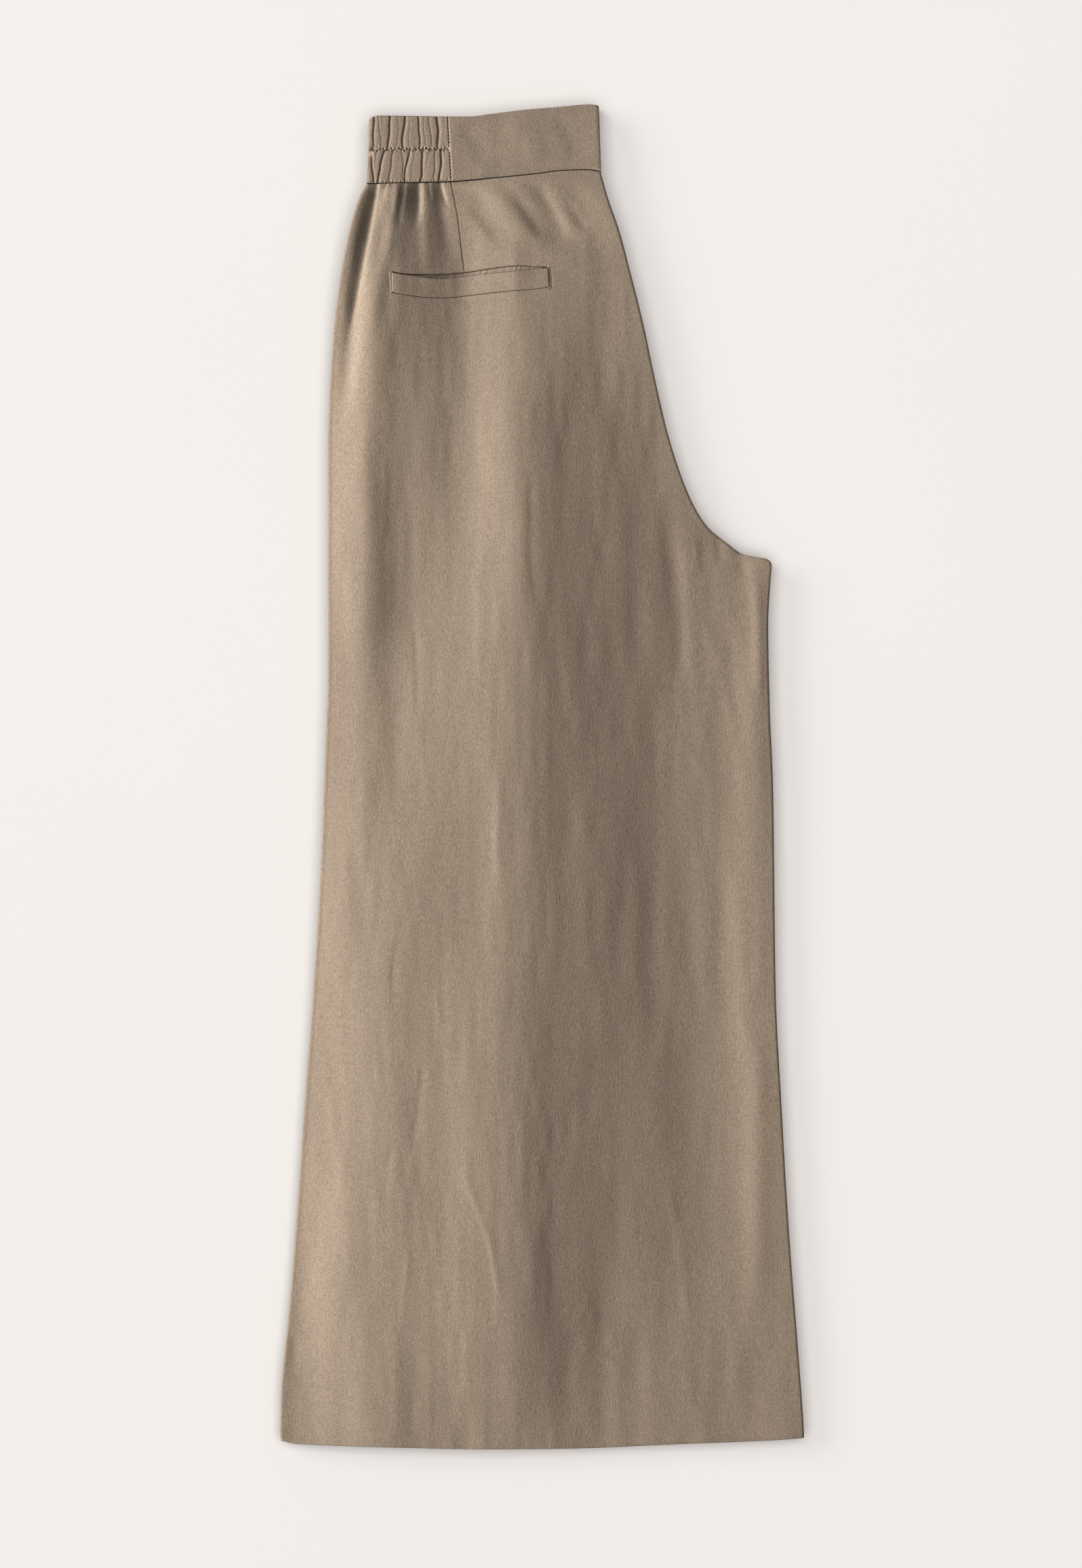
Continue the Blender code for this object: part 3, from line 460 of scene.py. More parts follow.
# %% Gathers that the seam pinches
# Left is how far the long slope reaches, and right is half the width of the steep step.
PINCHES = table(
    "top_x top_y mid_x mid_y end_x end_y depth left right fade",
    (-125.4, 453.0, -136.4, 390.0, -151.8, 309.0, 0.8, 12.0, 1.6, 50),
    (-94.4, 453.0, -94.4, 437.0, -96.5, 414.0, 1.2, 9.0, 2.2, 26),
    (-105.2, 453.0, -107.4, 436.0, -110.4, 412.0, 0.3, 4.0, 2.0, 20),
    (-78.0, 453.0, -76.6, 445.4, -71.0, 430.0, 0.7, 3.5, 1.6, 14),
    (-87.0, 453.0, -86.0, 446.0, -84.5, 436.0, 0.25, 2.5, 1.2, 10),
    (-118.0, 453.0, -120.0, 446.0, -123.0, 436.0, 0.3, 2.5, 1.2, 10),
)


def pinch_dip(x, y):
    """How far each gather dips: a long slope down from the left, then a steep step up."""
    total = np.zeros(np.broadcast(x, y).shape)
    for pinch in PINCHES:
        away = x - course(pinch, y)
        falls = np.where(away < 0, np.exp(away / pinch.left), ease(1 - away / (2 * pinch.right)))
        total = total + pinch.depth * falls * ease((y - pinch.end_y) / pinch.fade)
    return total


print(len(PINCHES), "pinched gathers, the deepest", max(pinch.depth for pinch in PINCHES), "mm")

# %% Sharp creases and crimps
CUSP_POWER = 1.35
CRIMPS_FROM = -133.0
CRIMPS_LENGTH = 64.0
CRIMP_PITCH = 2.3
CRIMP_REACH = 3.4
CRIMP_WIDTH = 0.55
CRIMP_LEAN = 0.3
# Where each random draw starts, so that every run makes the same cloth.
SEEDS = {"waist_seam": 33, "elastic_row": 21, "panel": 5, "smooth_band": 9, "underside": 71}


def cusp(x, middle, width, lean):
    """1 at a crease's bottom, falling off on both sides, more steeply on the right if it leans."""
    away = x - middle
    return np.exp(-((np.abs(away) / (width * (1 - lean * np.sign(away)))) ** CUSP_POWER))


def crimps(x, away, seed, share_of_depth=1.0):
    """Short crimps that fan out from a row of stitching, away from it by so many millimetres."""
    draw = np.random.default_rng(seed)
    dip = np.zeros(np.broadcast(x, away).shape)
    for k in range(int(CRIMPS_LENGTH / CRIMP_PITCH)):
        middle = CRIMPS_FROM + CRIMP_PITCH * (k + draw.uniform(0.2, 0.8))
        slant_up, slant_down = draw.uniform(-0.5, 0.5, 2)
        reach, depth = CRIMP_REACH * draw.uniform(0.5, 1.2), draw.uniform(0.35, 0.75)
        slant = np.where(away > 0, slant_up, -slant_down)
        fades = ease(1 - np.abs(away) / reach)
        shape = cusp(x, middle + slant * away, CRIMP_WIDTH, CRIMP_LEAN)
        dip = np.maximum(dip, depth * fades * shape)
    return share_of_depth * dip


print("crimps every", CRIMP_PITCH, "mm along", CRIMPS_LENGTH, "mm of stitching")

# %% The cloth's own unevenness
WAVES = table(
    "across along height",
    (34.0, 150.0, 0.45),
    (13.0, 70.0, 0.16),
    (6.0, 26.0, 0.07),
)
LATTICE = 64
LATTICE_SHIFT = 400.5  # keeps every place on the cloth at a positive place of the lattice
RAGGED = 0.7  # share by which the depth of a narrow crease changes along it
WAVES_BELOW = 452.0  # the waist seam holds the cloth smooth, and the waves grow from here down
WAVES_GROW = 60.0


def uneven(x, y, seed, share=1.0):
    """Small soft waves that run down the cloth, the same on every run."""
    total = np.zeros(np.broadcast(x, y).shape)
    for k, wave in enumerate(WAVES):
        lattice = np.random.default_rng(seed + k).uniform(-1.0, 1.0, (LATTICE, LATTICE))
        u, v = x / wave.across + LATTICE_SHIFT, y / wave.along + LATTICE_SHIFT
        column, row = np.floor(u).astype(int), np.floor(v).astype(int)
        s, t = ease(u - column), ease(v - row)
        low, high = (
            lattice[(row + up) % LATTICE, column % LATTICE] * (1 - s)
            + lattice[(row + up) % LATTICE, (column + 1) % LATTICE] * s
            for up in (0, 1)
        )
        total = total + share * wave.height * (low * (1 - t) + high * t)
    return total


def seat_height(x, y):
    """Height of the uppermost back panel's face before any seam pulls it down."""
    shaped = fold_height(x, y) + crease_height(x, y, CREASES, ragged=RAGGED) - pinch_dip(x, y)
    waves = uneven(x, y, SEEDS["panel"], ease((WAVES_BELOW - y) / WAVES_GROW))
    return stack_height(y) + shaped + waves


high = seat_height(np.zeros(1), np.full(1, 300.0))[0]
print("the middle of the seat is", round(high, 2), "mm high")

# %% [markdown]
# ## Rows across the garment
#
# A row starts on the side edge, rolls up on to the face, crosses it and rolls down again at the
# centre edge. At each edge the cloth turns towards the seam half way down its own leg, or, round
# the centre back, half way down the whole stack. The same rows make the panel that shows, the one
# underneath and the layers between, each at its own depth.

# %% Rows
TANGENT_REACH = 2.0  # an edge's direction is taken between points this far up and down it
BOW_FADE = 60.0
WAIST_BOW_FROM = 395.0  # above this the rows take on the waist seam's bow
HEM_BOW_FROM = -440.0  # below this the rows take on the hem's bow

# For each row: its ends in plan, the directions straight in from them, how far in its face starts,
# and how far the legs are apart at its right end.
Rows = namedtuple("Rows", "left right left_in right_in roll apart")


def inward(edge, y, side):
    """The direction, in plan, straight in from an edge at heights y up the garment."""
    reach = TANGENT_REACH
    run = smooth_through(edge, y + reach) - smooth_through(edge, y - reach)
    length = np.hypot(2 * reach, run)
    return np.stack([side * 2 * reach / length, -side * run / length], axis=-1)


def panel_rows(left_y):
    """The panels' rows, from where they start on the side edge."""
    right_y = smooth_through(SECTIONS, left_y, "right_y")
    left_x = smooth_through(SIDE_EDGE, left_y)
    right_x = smooth_through(CENTRE_EDGE, right_y)
    return Rows(
        left=np.stack([left_x, left_y], axis=-1),
        right=np.stack([right_x, right_y], axis=-1),
        left_in=inward(SIDE_EDGE, left_y, 1),
        right_in=inward(CENTRE_EDGE, right_y, -1),
        roll=np.full(len(left_y), EDGE_ROLL),
        apart=smooth_through(SECTIONS, left_y, "apart"),
    )


def straight_line(left, right, x):
    """How far up the garment the straight lines between pairs of points pass places x."""
    share = (x - left[:, :1]) / (right[:, :1] - left[:, :1])
    return left[:, 1:] + (right[:, 1:] - left[:, 1:]) * share


def bow(line, x):
    """How far a line across the garment leaves the straight one between its ends."""
    first, last = line[0], line[-1]
    straight = first.y + (last.y - first.y) * (x - first.x) / (last.x - first.x)
    return smooth_through(line, x) - straight


def panel_bend(rows, x):
    """How far each row leaves the straight line between its ends, at places along it."""
    middle = ((rows.left[:, 1] + rows.right[:, 1]) / 2)[:, None]
    at_waist = bow(WAIST_SEAM, x) * ease((middle - WAIST_BOW_FROM) / BOW_FADE)
    at_hem = bow(HEM_LINE, x) * ease((HEM_BOW_FROM - middle) / BOW_FADE)
    sag = -POCKET_SAG.drop * np.exp(-(((x - POCKET_SAG.x) / POCKET_SAG.width) ** 2))
    near = ease((POCKET_SAG.reach - abs(middle - POCKET_SAG.y)) / POCKET_SAG.fade)
    return at_waist + at_hem + sag * near


def shoulders(rows):
    """The places in plan where the rolled edges of each row end and its face starts."""
    roll = rows.roll[:, None]
    return rows.left + rows.left_in * roll, rows.right + rows.right_in * roll


def face_plan(rows, shares, bend):
    """Places of the face's points in plan: x and y, a row for each row."""
    left, right = shoulders(rows)
    plan = left[:, None, :] + (right - left)[:, None, :] * np.atleast_2d(shares)[..., None]
    return plan[..., 0], plan[..., 1] + bend(rows, plan[..., 0])


hip = panel_rows(np.array([300.0]))
print("the row across the hip runs from", hip.left[0], "to", hip.right[0])

# %% Rolled edges
ROLL_STEPS = 8
ROLL_ANGLES = np.linspace(0.0, math.pi / 2, ROLL_STEPS + 1)[:-1]


def rolled(rows, side, depth, seam_z, face_z, bend, angles=ROLL_ANGLES):
    """Points round one edge of every row, from its seam (angle 0) up or down to its face."""
    edge, into = (rows.left, rows.left_in) if side < 0 else (rows.right, rows.right_in)
    roll = rows.roll[:, None]
    depth = np.reshape(depth, (-1, 1)) + np.zeros((len(roll), 1))
    up = np.clip(angles / WALL_TURN, 0.0, 1.0)
    turn = np.clip((angles - WALL_TURN) / (math.pi / 2 - WALL_TURN), 0.0, 1.0) * math.pi / 2
    inset = depth + (roll - depth) * (1 - np.cos(turn)) * CORNER / EDGE_ROLL
    inset = np.where(angles > math.pi / 2 - 1e-6, roll, inset)
    plan = edge[:, None, :] + into[:, None, :] * inset[..., None]
    rise = (face_z - seam_z)[:, None]
    corner = np.sign(rise) * np.minimum(np.abs(rise), CORNER)
    z = seam_z[:, None] + (rise - corner) * up + corner * np.sin(turn)
    return np.stack([plan[..., 0], plan[..., 1] + bend(rows, plan[..., 0]), z], axis=-1)


def edge_heights(rows):
    """Height of all the layers together at each row's left and right shoulder."""
    return [stack_height(at[:, 1]) + fold_height(at[:, 0], at[:, 1]) for at in shoulders(rows)]


def seam_heights(rows):
    """How far the panels' seams lie from the middle of the stack on the left and on the right."""
    left, right = edge_heights(rows)
    return left / 4, right / 4 * rows.apart


def row_points(rows, shares, depth, height, bend, upward=1):
    """All the points of a sheet whose rows roll at both edges."""
    x, y = face_plan(rows, shares, bend)
    z = height(x, y)
    left_up, right_up = seam_heights(rows)
    left_stack, right_stack = edge_heights(rows)
    left = rolled(rows, -1, depth, left_stack / 2 + upward * left_up, z[:, 0], bend)
    right = rolled(rows, 1, depth, right_stack / 2 + upward * right_up, z[:, -1], bend)[:, ::-1]
    return np.concatenate([left, np.stack([x, y, z], axis=-1), right], axis=1)


print("the side seam there is", seam_heights(hip)[0][0], "mm above the middle of the stack")

# %% [markdown]
# ## The back panel that shows
#
# The panel is sewn to the waistband along a seam that pulls its edge down, and its hem is turned
# inside, so its lower edge is a soft round fold. The pocket is a slit in it: the upper lip turns
# down into the mouth, and the cloth under the welt is sunk, so that the welt lies level with the
# panel as a sewn one does. Rows crowd together where the shape is small and spread out on the leg.

# %% The pocket's lines
LIP_LINE = table(
    "x y",
    (-114.4, 383.65), (-97.1, 382.1), (-79.3, 382.3), (-58.9, 383.8), (-43.8, 385.9),
    (-26.1, 388.1), (-16.3, 388.7), (-5.6, 387.9), (5.0, 387.65),
)
WELT_TOP = table(
    "x y",
    (-114.4, 383.6), (-97.1, 381.0), (-77.6, 378.95), (-46.5, 382.15), (-17.2, 384.7),
    (5.0, 387.3),
)
WELT_LOW = table(
    "x y",
    (-114.4, 368.1), (-97.1, 365.5), (-83.8, 364.3), (-74.0, 364.3), (-52.7, 366.3),
    (-26.1, 369.0), (-8.3, 370.3), (5.9, 371.9),
)
POCKET_ENDS = table("y left right", (388.0, -114.2, 4.4), (368.0, -114.3, 5.8))
POCKET_LIPS = table(
    CREASE_COLUMNS,
    (-115.3, 384.6, -114.9, 367.4, 0, 0.5, 0.08, 0.0),
    (-116.4, 384.6, -115.7, 367.4, 0, 0.5, -0.08, 0.0),
    (5.3, 388.4, 6.5, 371.2, 0, 0.5, 0.08, 0.0),
    (6.3, 388.4, 7.5, 371.2, 0, 0.5, -0.08, 0.0),
)
DART = table(
    "y x",
    (453.5, -69.9), (438.9, -66.9), (427.0, -64.6), (404.1, -61.9), (383.0, -59.2),
)
# How far above, below and beside the mouth the rows follow its lines, and how each reach fades.
DRAWN = table("above above_fade below below_fade aside", (20.0, 12.0, 36.0, 16.0, 12.0))[0]
LIP_TURN = 0.3  # how far below the lip's line its cloth turns down
print("the pocket's mouth is", round(LIP_LINE[-1].x - LIP_LINE[0].x, 1), "mm wide")

# %% The panel's rows
# Rows round the pocket's mouth: where each starts on the side edge, how far it lies above the
# lip's line (mix 0) or the welt's (mix 1), and its share of the sink.
MOUTH_ROWS = table(
    "start above mix sink",
    (2.6, 2.6, 0.0, 0.0), (1.8, 1.8, 0.0, 0.0), (1.2, 1.2, 0.0, 0.01), (0.8, 0.8, 0.0, 0.04),
    (0.45, 0.45, 0.0, 0.1), (0.2, 0.2, 0.0, 0.2), (0.0, 0.06, 0.0, 0.36),
    (-0.15, 0.0, 0.0, 0.58), (-0.3, -0.03, 0.02, 0.8), (-0.45, -0.08, 0.06, 1.0),
    (-0.6, -0.14, 0.35, 1.0), (-0.75, -0.2, 0.7, 1.0), (-0.9, -0.26, 1.0, 1.0),
    (-2.0, -2.0, 1.0, 1.0), (-4.0, -4.0, 1.0, 1.0), (-6.0, -6.0, 1.0, 0.9),
    (-7.5, -7.5, 1.0, 0.6), (-10.0, -10.0, 1.0, 0.5), (-12.5, -12.5, 1.0, 0.5),
    (-14.5, -14.5, 1.0, 0.5), (-14.95, -14.95, 1.0, 0.46), (-15.2, -15.2, 1.0, 0.3),
    (-15.4, -15.4, 1.0, 0.14), (-15.65, -15.65, 1.0, 0.04), (-16.0, -16.0, 1.0, 0.0),
)
ROWS_ABOVE_MOUTH = table("left_y rows", (WAIST_LEFT_Y, 0), (449.0, 8), (400.0, 48), (386.0, 12))
ROWS_BELOW_MOUTH = table(
    "left_y rows",
    (365.4, 0), (345.0, 12), (190.0, 46), (148.0, 28), (-200.0, 62), (-440.0, 62), (-456.0, 12),
    (-504.5, 19),
)
HEM_ROUND = HEM_CLOTH / 2
HEM_TURNS = np.radians([22.5, 45, 67.5, 90, 112.5, 135, 157.5])

# Lines that run straight down the panel: the pocket's left end, the dart and the pocket's right
# end. Each has a place across the panel (0 where it follows the dart) and a distance from the
# dart, and the number of columns that lead up to it.
LINES = table(
    "x from_dart columns",
    (-116.4, 0.0, 24), (-112.8, 0.0, 10), (0.0, -2.0, 42), (0.0, 2.0, 12), (3.4, 0.0, 50),
    (8.0, 0.0, 12),
)
LAST_COLUMNS = 54


def line_shares(rows):
    """Each row's columns of points, as shares from shoulder to shoulder."""
    left, right = shoulders(rows)
    width = right[:, 0] - left[:, 0]
    dart = smooth_through(DART, (left[:, 1] + right[:, 1]) / 2)
    places = [((line.x or dart + line.from_dart) - left[:, 0]) / width for line in LINES]
    shares = [np.zeros(len(width))]
    for place, columns in zip([*places, 1.0], [line.columns for line in LINES] + [LAST_COLUMNS]):
        start = shares[-1]
        shares += list(start + (place - start) * (np.arange(1, columns + 1) / columns)[:, None])
    return np.stack(shares, axis=1)


upper_rows = spaced(ROWS_ABOVE_MOUTH)
lower_rows = spaced(ROWS_BELOW_MOUTH)
mouth_starts = np.array([row.start for row in MOUTH_ROWS]) + MOUTH_LEFT_Y
hem_starts = np.full(len(HEM_TURNS), lower_rows[-1])
row_starts = np.concatenate([upper_rows, mouth_starts, lower_rows, hem_starts])


def with_mouth(values, column):
    """Values for all rows, with a column of the mouth's table in the place of its rows."""
    values[len(upper_rows) : len(upper_rows) + len(MOUTH_ROWS)] = [
        getattr(row, column) for row in MOUTH_ROWS
    ]
    return values


row_above = with_mouth(row_starts - MOUTH_LEFT_Y, "above")
row_mix = with_mouth(np.where(row_starts > MOUTH_LEFT_Y, 0.0, 1.0), "mix")
row_sink = with_mouth(np.zeros(len(row_starts)), "sink")
row_turn = np.zeros(len(row_starts))
row_turn[-len(HEM_TURNS) :] = HEM_TURNS
print(len(row_starts), "rows of points round the pocket and down the leg")

# %% The panel's seams, its dart and its pocket's mouth
SEAM_PULL = 0.55  # how far a seam pulls the cloth down beside it
SEAM_REACH = 1.8
HEM_GROOVE = table("width depth at_pick step", (0.7, 0.2, 0.05, 0.22))[0]
HEM_PICK_PITCH = 7.3
HEM_SPREAD = 0.35  # distance between the inner side's rows inside the hem's fold


def pocket_bend(rows, x):
    """The rows' own bend, and near the pocket the lines of its lip and welt."""
    plain = panel_bend(rows, x)
    straight = straight_line(*shoulders(rows), x)
    lip, top, low = (smooth_through(line, x) for line in (LIP_LINE, WELT_TOP, WELT_LOW))
    above, mix = row_above[:, None], row_mix[:, None]
    sunk = np.clip(-above / WELT_DEPTH, 0.0, 1.0)
    along = lip * (1 - mix) + (top + (low - top) * sunk) * mix
    in_welt = above > -WELT_DEPTH
    target = along + np.where(in_welt, np.maximum(above, -LIP_TURN), above + WELT_DEPTH)
    target = np.where((above < -LIP_TURN) & in_welt, along, target)
    held = ease((DRAWN.above - above) / DRAWN.above_fade)
    held = held * ease((above + DRAWN.below) / DRAWN.below_fade)
    aside = np.maximum(LIP_LINE[0].x - x, x - LIP_LINE[-1].x)
    held = held * ease(1 - aside / DRAWN.aside)
    return plain + held * (target - straight - plain)


def in_pocket(x, y):
    """1 between the pocket's ends, 0 outside, with a steep step at each."""
    left = smooth_through(POCKET_ENDS, y, "left")
    right = smooth_through(POCKET_ENDS, y, "right")
    return ease((x - left + 0.1) / 0.5) * ease((right + 0.1 - x) / 0.5)


def hem_dip(x, y):
    """The blind-stitched top of the hem: a faint line with dimples, and the doubled cloth below."""
    line = smooth_through(HEM_LINE, x) + HEM_DEPTH
    away = y - line
    wandering = 2 * math.pi * x / HEM_PICK_PITCH + 0.6 * np.sin(x / 31.0)
    picks = np.maximum(0.0, np.cos(wandering)) ** 12
    depth = HEM_GROOVE.depth + HEM_GROOVE.at_pick * picks
    groove = np.exp(-((away / HEM_GROOVE.width) ** 2)) * depth
    return groove - HEM_GROOVE.step * ease((1.5 - away) / 1.6)


def dart_dip(x, y):
    """The dart's sewn edge: the cloth drops at it and rises slowly again on the right."""
    middle = smooth_through(DART, y)
    step = 0.12 * ease(0.5 + (x - middle) / 0.9) * ease((middle + 12.0 - x) / 12.0)
    return (0.1 * cusp(x, middle, 0.5, -0.4) + step) * ease((y - DART[-1].y) / 3.0)


def panel_face(x, y):
    """Height of the panel's outer face, with the seams that pull it down."""
    from_seam = smooth_through(WAIST_SEAM, x) - y
    pulled = SEAM_PULL * (1 - ease((from_seam + 0.2) / SEAM_REACH))
    gathered = crimps(x, -from_seam, SEEDS["waist_seam"], 0.5)
    lips = crease_height(x, y, POCKET_LIPS, 0.08)
    sunk = MOUTH_SINK * row_sink[:, None] * in_pocket(x, y)
    return seat_height(x, y) + lips - pulled - gathered - dart_dip(x, y) - sunk - hem_dip(x, y)


print("the waist seam pulls the panel down by", SEAM_PULL, "mm")

# %% The back panel
def back_panel():
    """The panel that shows, with its pocket's mouth, its dart and the fold of its hem."""
    rows = panel_rows(row_starts)
    shares = line_shares(rows)

    def sheet(depth):
        def height(x, y):
            return panel_face(x, y) - np.reshape(depth, (-1, 1))

        return row_points(rows, shares, depth, height, pocket_bend)

    over = sheet(0.0)
    under = sheet(leg_cloth(row_starts))
    hem = sheet(HEM_ROUND * (1 - np.cos(row_turn)))
    hem[..., 1] -= HEM_ROUND * np.sin(row_turn)[:, None]
    last = len(HEM_TURNS)
    over[-last:] = hem[-last:]
    under[-last:, :, 1] += HEM_SPREAD * np.arange(last, 0, -1)[:, None]
    return shell("back_upper_cloth", over, under)


back_upper = back_panel()

# %% [markdown]
# ## The waistband's gathered stretch
#
# From the side seam to the join the band is a casing drawn up on elastic, with one row of
# stitching through the middle. The cloth stands in plump folds with sharp creases between them.
# A crease is cut as a cusp with one steep side, and where the row of stitching and the seams
# hold the cloth down, short crimps fan out from them.

# %% Creases of the gathered stretch
UPPER_CREASES = table(
    "top_x low_x width depth lean",
    (-127.6, -128.4, 1.2, 1.5, 0.3),
    (-125.4, -122.4, 0.9, 0.6, 0.3),
    (-121.0, -121.4, 0.8, 0.3, 0.2),
    (-115.3, -117.2, 1.2, 2.0, 0.5),
    (-109.4, -110.6, 0.8, 0.35, 0.3),
    (-103.6, -106.2, 1.2, 2.0, 0.5),
    (-100.6, -101.6, 0.7, 0.4, 0.2),
    (-94.6, -93.2, 1.1, 1.5, 0.5),
    (-90.0, -88.0, 0.8, 0.4, 0.3),
    (-86.6, -83.2, 1.0, 0.7, 0.4),
    (-79.9, -79.6, 1.5, 2.1, 0.45),
    (-74.6, -74.2, 0.8, 0.3, 0.2),
)
LOWER_CREASES = table(
    "top_x low_x width depth lean",
    (-130.2, -127.9, 1.2, 1.6, 0.3),
    (-126.4, -128.9, 0.8, 0.6, 0.3),
    (-119.6, -124.9, 1.1, 2.0, 0.5),
    (-113.0, -116.4, 1.2, 1.0, 0.2),
    (-106.6, -106.0, 0.9, 0.7, 0.3),
    (-100.2, -104.9, 1.1, 1.9, 0.5),
    (-97.2, -99.6, 0.7, 0.4, 0.3),
    (-91.4, -92.2, 1.2, 2.0, 0.5),
    (-85.0, -89.8, 0.8, 0.5, 0.3),
    (-81.2, -82.2, 1.0, 0.8, 0.4),
    (-76.8, -78.4, 1.2, 2.0, 0.5),
    (-73.6, -74.4, 0.8, 0.3, 0.2),
)
BAND_DEPTH = 50.0
CREASE_NARROW = 0.8
CREASE_SHARE = 0.24
CREASE_STEEP = 0.2  # every crease leans at least this much, with its steep side on the left
MERGE_WIDTH = 1.6  # the folds above and below the stitching merge over this width
HELD_REACH = 4.5  # the stitching holds the cloth down as far as this from it


def crease_dip(x, share, row):
    """How far the creases on one side of the row of stitching dip below the band's face."""
    creases, start, end = (
        (UPPER_CREASES, 1.0, STITCH_ROW) if row == "upper" else (LOWER_CREASES, STITCH_ROW, 0.0)
    )
    along = np.clip((start - share) / (start - end), 0.0, 1.0)
    dip = np.zeros(np.broadcast(x, share).shape)
    for k, crease in enumerate(creases):
        swing = 0.8 * math.sin(2.1 * k) * np.sin(math.pi * along) + 0.25 * np.sin(9 * along + k)
        middle = crease.top_x + (crease.low_x - crease.top_x) * along + swing
        lean = -CREASE_STEEP - 0.5 * crease.lean
        shape = cusp(x, middle, CREASE_NARROW * crease.width, lean)
        dip = np.maximum(dip, CREASE_SHARE * crease.depth * shape)
    return dip


def gathers(x, share):
    """How far the gathered stretch dips below its plump face, at shares of the band's depth."""
    away = (share - STITCH_ROW) * BAND_DEPTH
    blend = ease(0.5 + away / MERGE_WIDTH)
    dip = crease_dip(x, share, "upper") * blend + crease_dip(x, share, "lower") * (1 - blend)
    held = ease(1 - np.abs(away) / HELD_REACH)
    drawn = away + 0.45 * np.sin(x * 2.1) + 0.4 * np.sin(x * 0.9 + 1.0)
    stitched = 0.55 * np.exp(-((drawn / 0.5) ** 2)) + 0.5 * held
    return dip * (1 - 0.4 * held) + stitched + 0.7 * crimps(x, away, SEEDS["elastic_row"])


print(len(UPPER_CREASES), "creases above the stitching and", len(LOWER_CREASES), "below it")

# %% The band's rows
JOIN_LEAN = 2.7
BAND_ROLL = 2.6
BAND_PULL_REACH = 1.6  # how far up the band the waist seam pulls the cloth down
TUCK = 0.05  # distance between the inner side's rows under a round top edge


def join_x(share):
    """Where the gathered stretch ends and the smooth one starts, which leans a little."""
    return BAND_JOIN_X + JOIN_LEAN * (0.5 - share)


def band_line(share, x):
    """Height up the garment of a line of the band, from the waist seam to the top edge."""
    low = smooth_through(WAIST_SEAM, x)
    return low + (smooth_through(WAIST_TOP, x) - low) * share


def band_rows(share):
    """The band's rows, at shares of its depth."""
    left_x = smooth_through(BAND_EDGES, share, "left")
    right_x = smooth_through(BAND_EDGES, share, "right")
    left_y, right_y = band_line(share, left_x), band_line(share, right_x)
    sideways = np.stack([np.ones(len(share)), np.zeros(len(share))], axis=-1)
    return Rows(
        left=np.stack([left_x, left_y], axis=-1),
        right=np.stack([right_x, right_y], axis=-1),
        left_in=sideways,
        right_in=-sideways,
        roll=np.full(len(share), BAND_ROLL),
        apart=np.zeros(len(share)),
    )


def band_bend(share):
    """A function for how far the band's rows leave straight lines between their ends."""

    def bend(rows, x):
        return band_line(share[:, None], x) - straight_line(rows.left, rows.right, x)

    return bend


print("the band is", round(float(band_line(1.0, 0.0) - band_line(0.0, 0.0)), 1), "mm deep")

# %% Sheets with a round top edge
def band_shares(count, rounded):
    """Shares of the band's depth from its top edge to the waist seam, and turns over the top."""
    turns = HEM_TURNS[::-1]
    top = 1.0 - rounded / BAND_DEPTH
    shares = np.concatenate([np.full(len(turns), top), np.linspace(top, 0.0, count)])
    return shares, np.concatenate([turns, np.zeros(count)])


def tucked_rows(count):
    """How far the inner side's rows under the round top edge are spread, so that none coincide."""
    turns = len(HEM_TURNS)
    return np.concatenate([TUCK * np.arange(turns, 0, -1), np.zeros(count - turns)])


def rounded_shell(name, sheet, rounded, turn, cloth, flip=False):
    """A shell whose first rows go round a folded top edge, from a function of depth and shift."""
    outer = sheet(rounded * (1 - np.cos(turn)), rounded * np.sin(turn))
    inner = sheet(np.full(len(turn), cloth), tucked_rows(len(turn)))
    if flip:
        outer, inner = outer[::-1], inner[::-1]
    return shell(name, outer, inner)


def face_columns(rows, left_x, right_x, count):
    """Columns between two places across the band, as shares from shoulder to shoulder."""
    left, right = shoulders(rows)
    width = right[:, 0] - left[:, 0]
    start, end = (left_x - left[:, 0]) / width, (right_x - left[:, 0]) / width
    return start[:, None] + (end - start)[:, None] * np.linspace(0.0, 1.0, count)


print("the first", len(HEM_TURNS), "rows of such a sheet go round its top edge")

# %% The gathered stretch
# The underside's creases are flattened to a share of their depth.
ELASTIC_SHEET = table("rows columns seam_pull flattened", (102, 169, 0.45, 0.45))[0]


def elastic_sheet(name, facing_up):
    """The gathered stretch that shows, or the one underneath, which lies flat on its creases."""
    rounded = ELASTIC_CLOTH / 2
    share, turn = band_shares(ELASTIC_SHEET.rows, rounded)
    rows = band_rows(share)
    bend = band_bend(share)
    left_shoulder = shoulders(rows)[0][:, 0]
    columns = face_columns(rows, left_shoulder, join_x(share), ELASTIC_SHEET.columns)
    middle = stack_height(rows.left[:, 1]) / 2
    seam = np.where(facing_up, middle + middle / 2, middle - middle / 2)

    def sheet(depth, shift):
        x, y = face_plan(rows, columns, bend)
        from_seam = share[:, None] * BAND_DEPTH
        at_seam = ELASTIC_SHEET.seam_pull * (1 - ease(from_seam / BAND_PULL_REACH))
        gathered = gathers(x, share[:, None])
        dip = gathered + at_seam + crimps(x, from_seam, SEEDS["waist_seam"], 0.5)
        if facing_up:
            z = stack_height(y) - dip - depth[:, None]
        else:
            z = ELASTIC_SHEET.flattened * dip + depth[:, None]
        left = rolled(rows, -1, depth, seam, z[:, 0], bend)
        points = np.concatenate([left, np.stack([x, y, z], axis=-1)], axis=1)
        points[..., 1] += shift[:, None]
        return points

    return rounded_shell(name, sheet, rounded, turn, ELASTIC_CLOTH, flip=not facing_up)


elastic_upper = elastic_sheet("waistband_elastic_upper_cloth", True)
elastic_lower = elastic_sheet("waistband_elastic_lower_cloth", False)

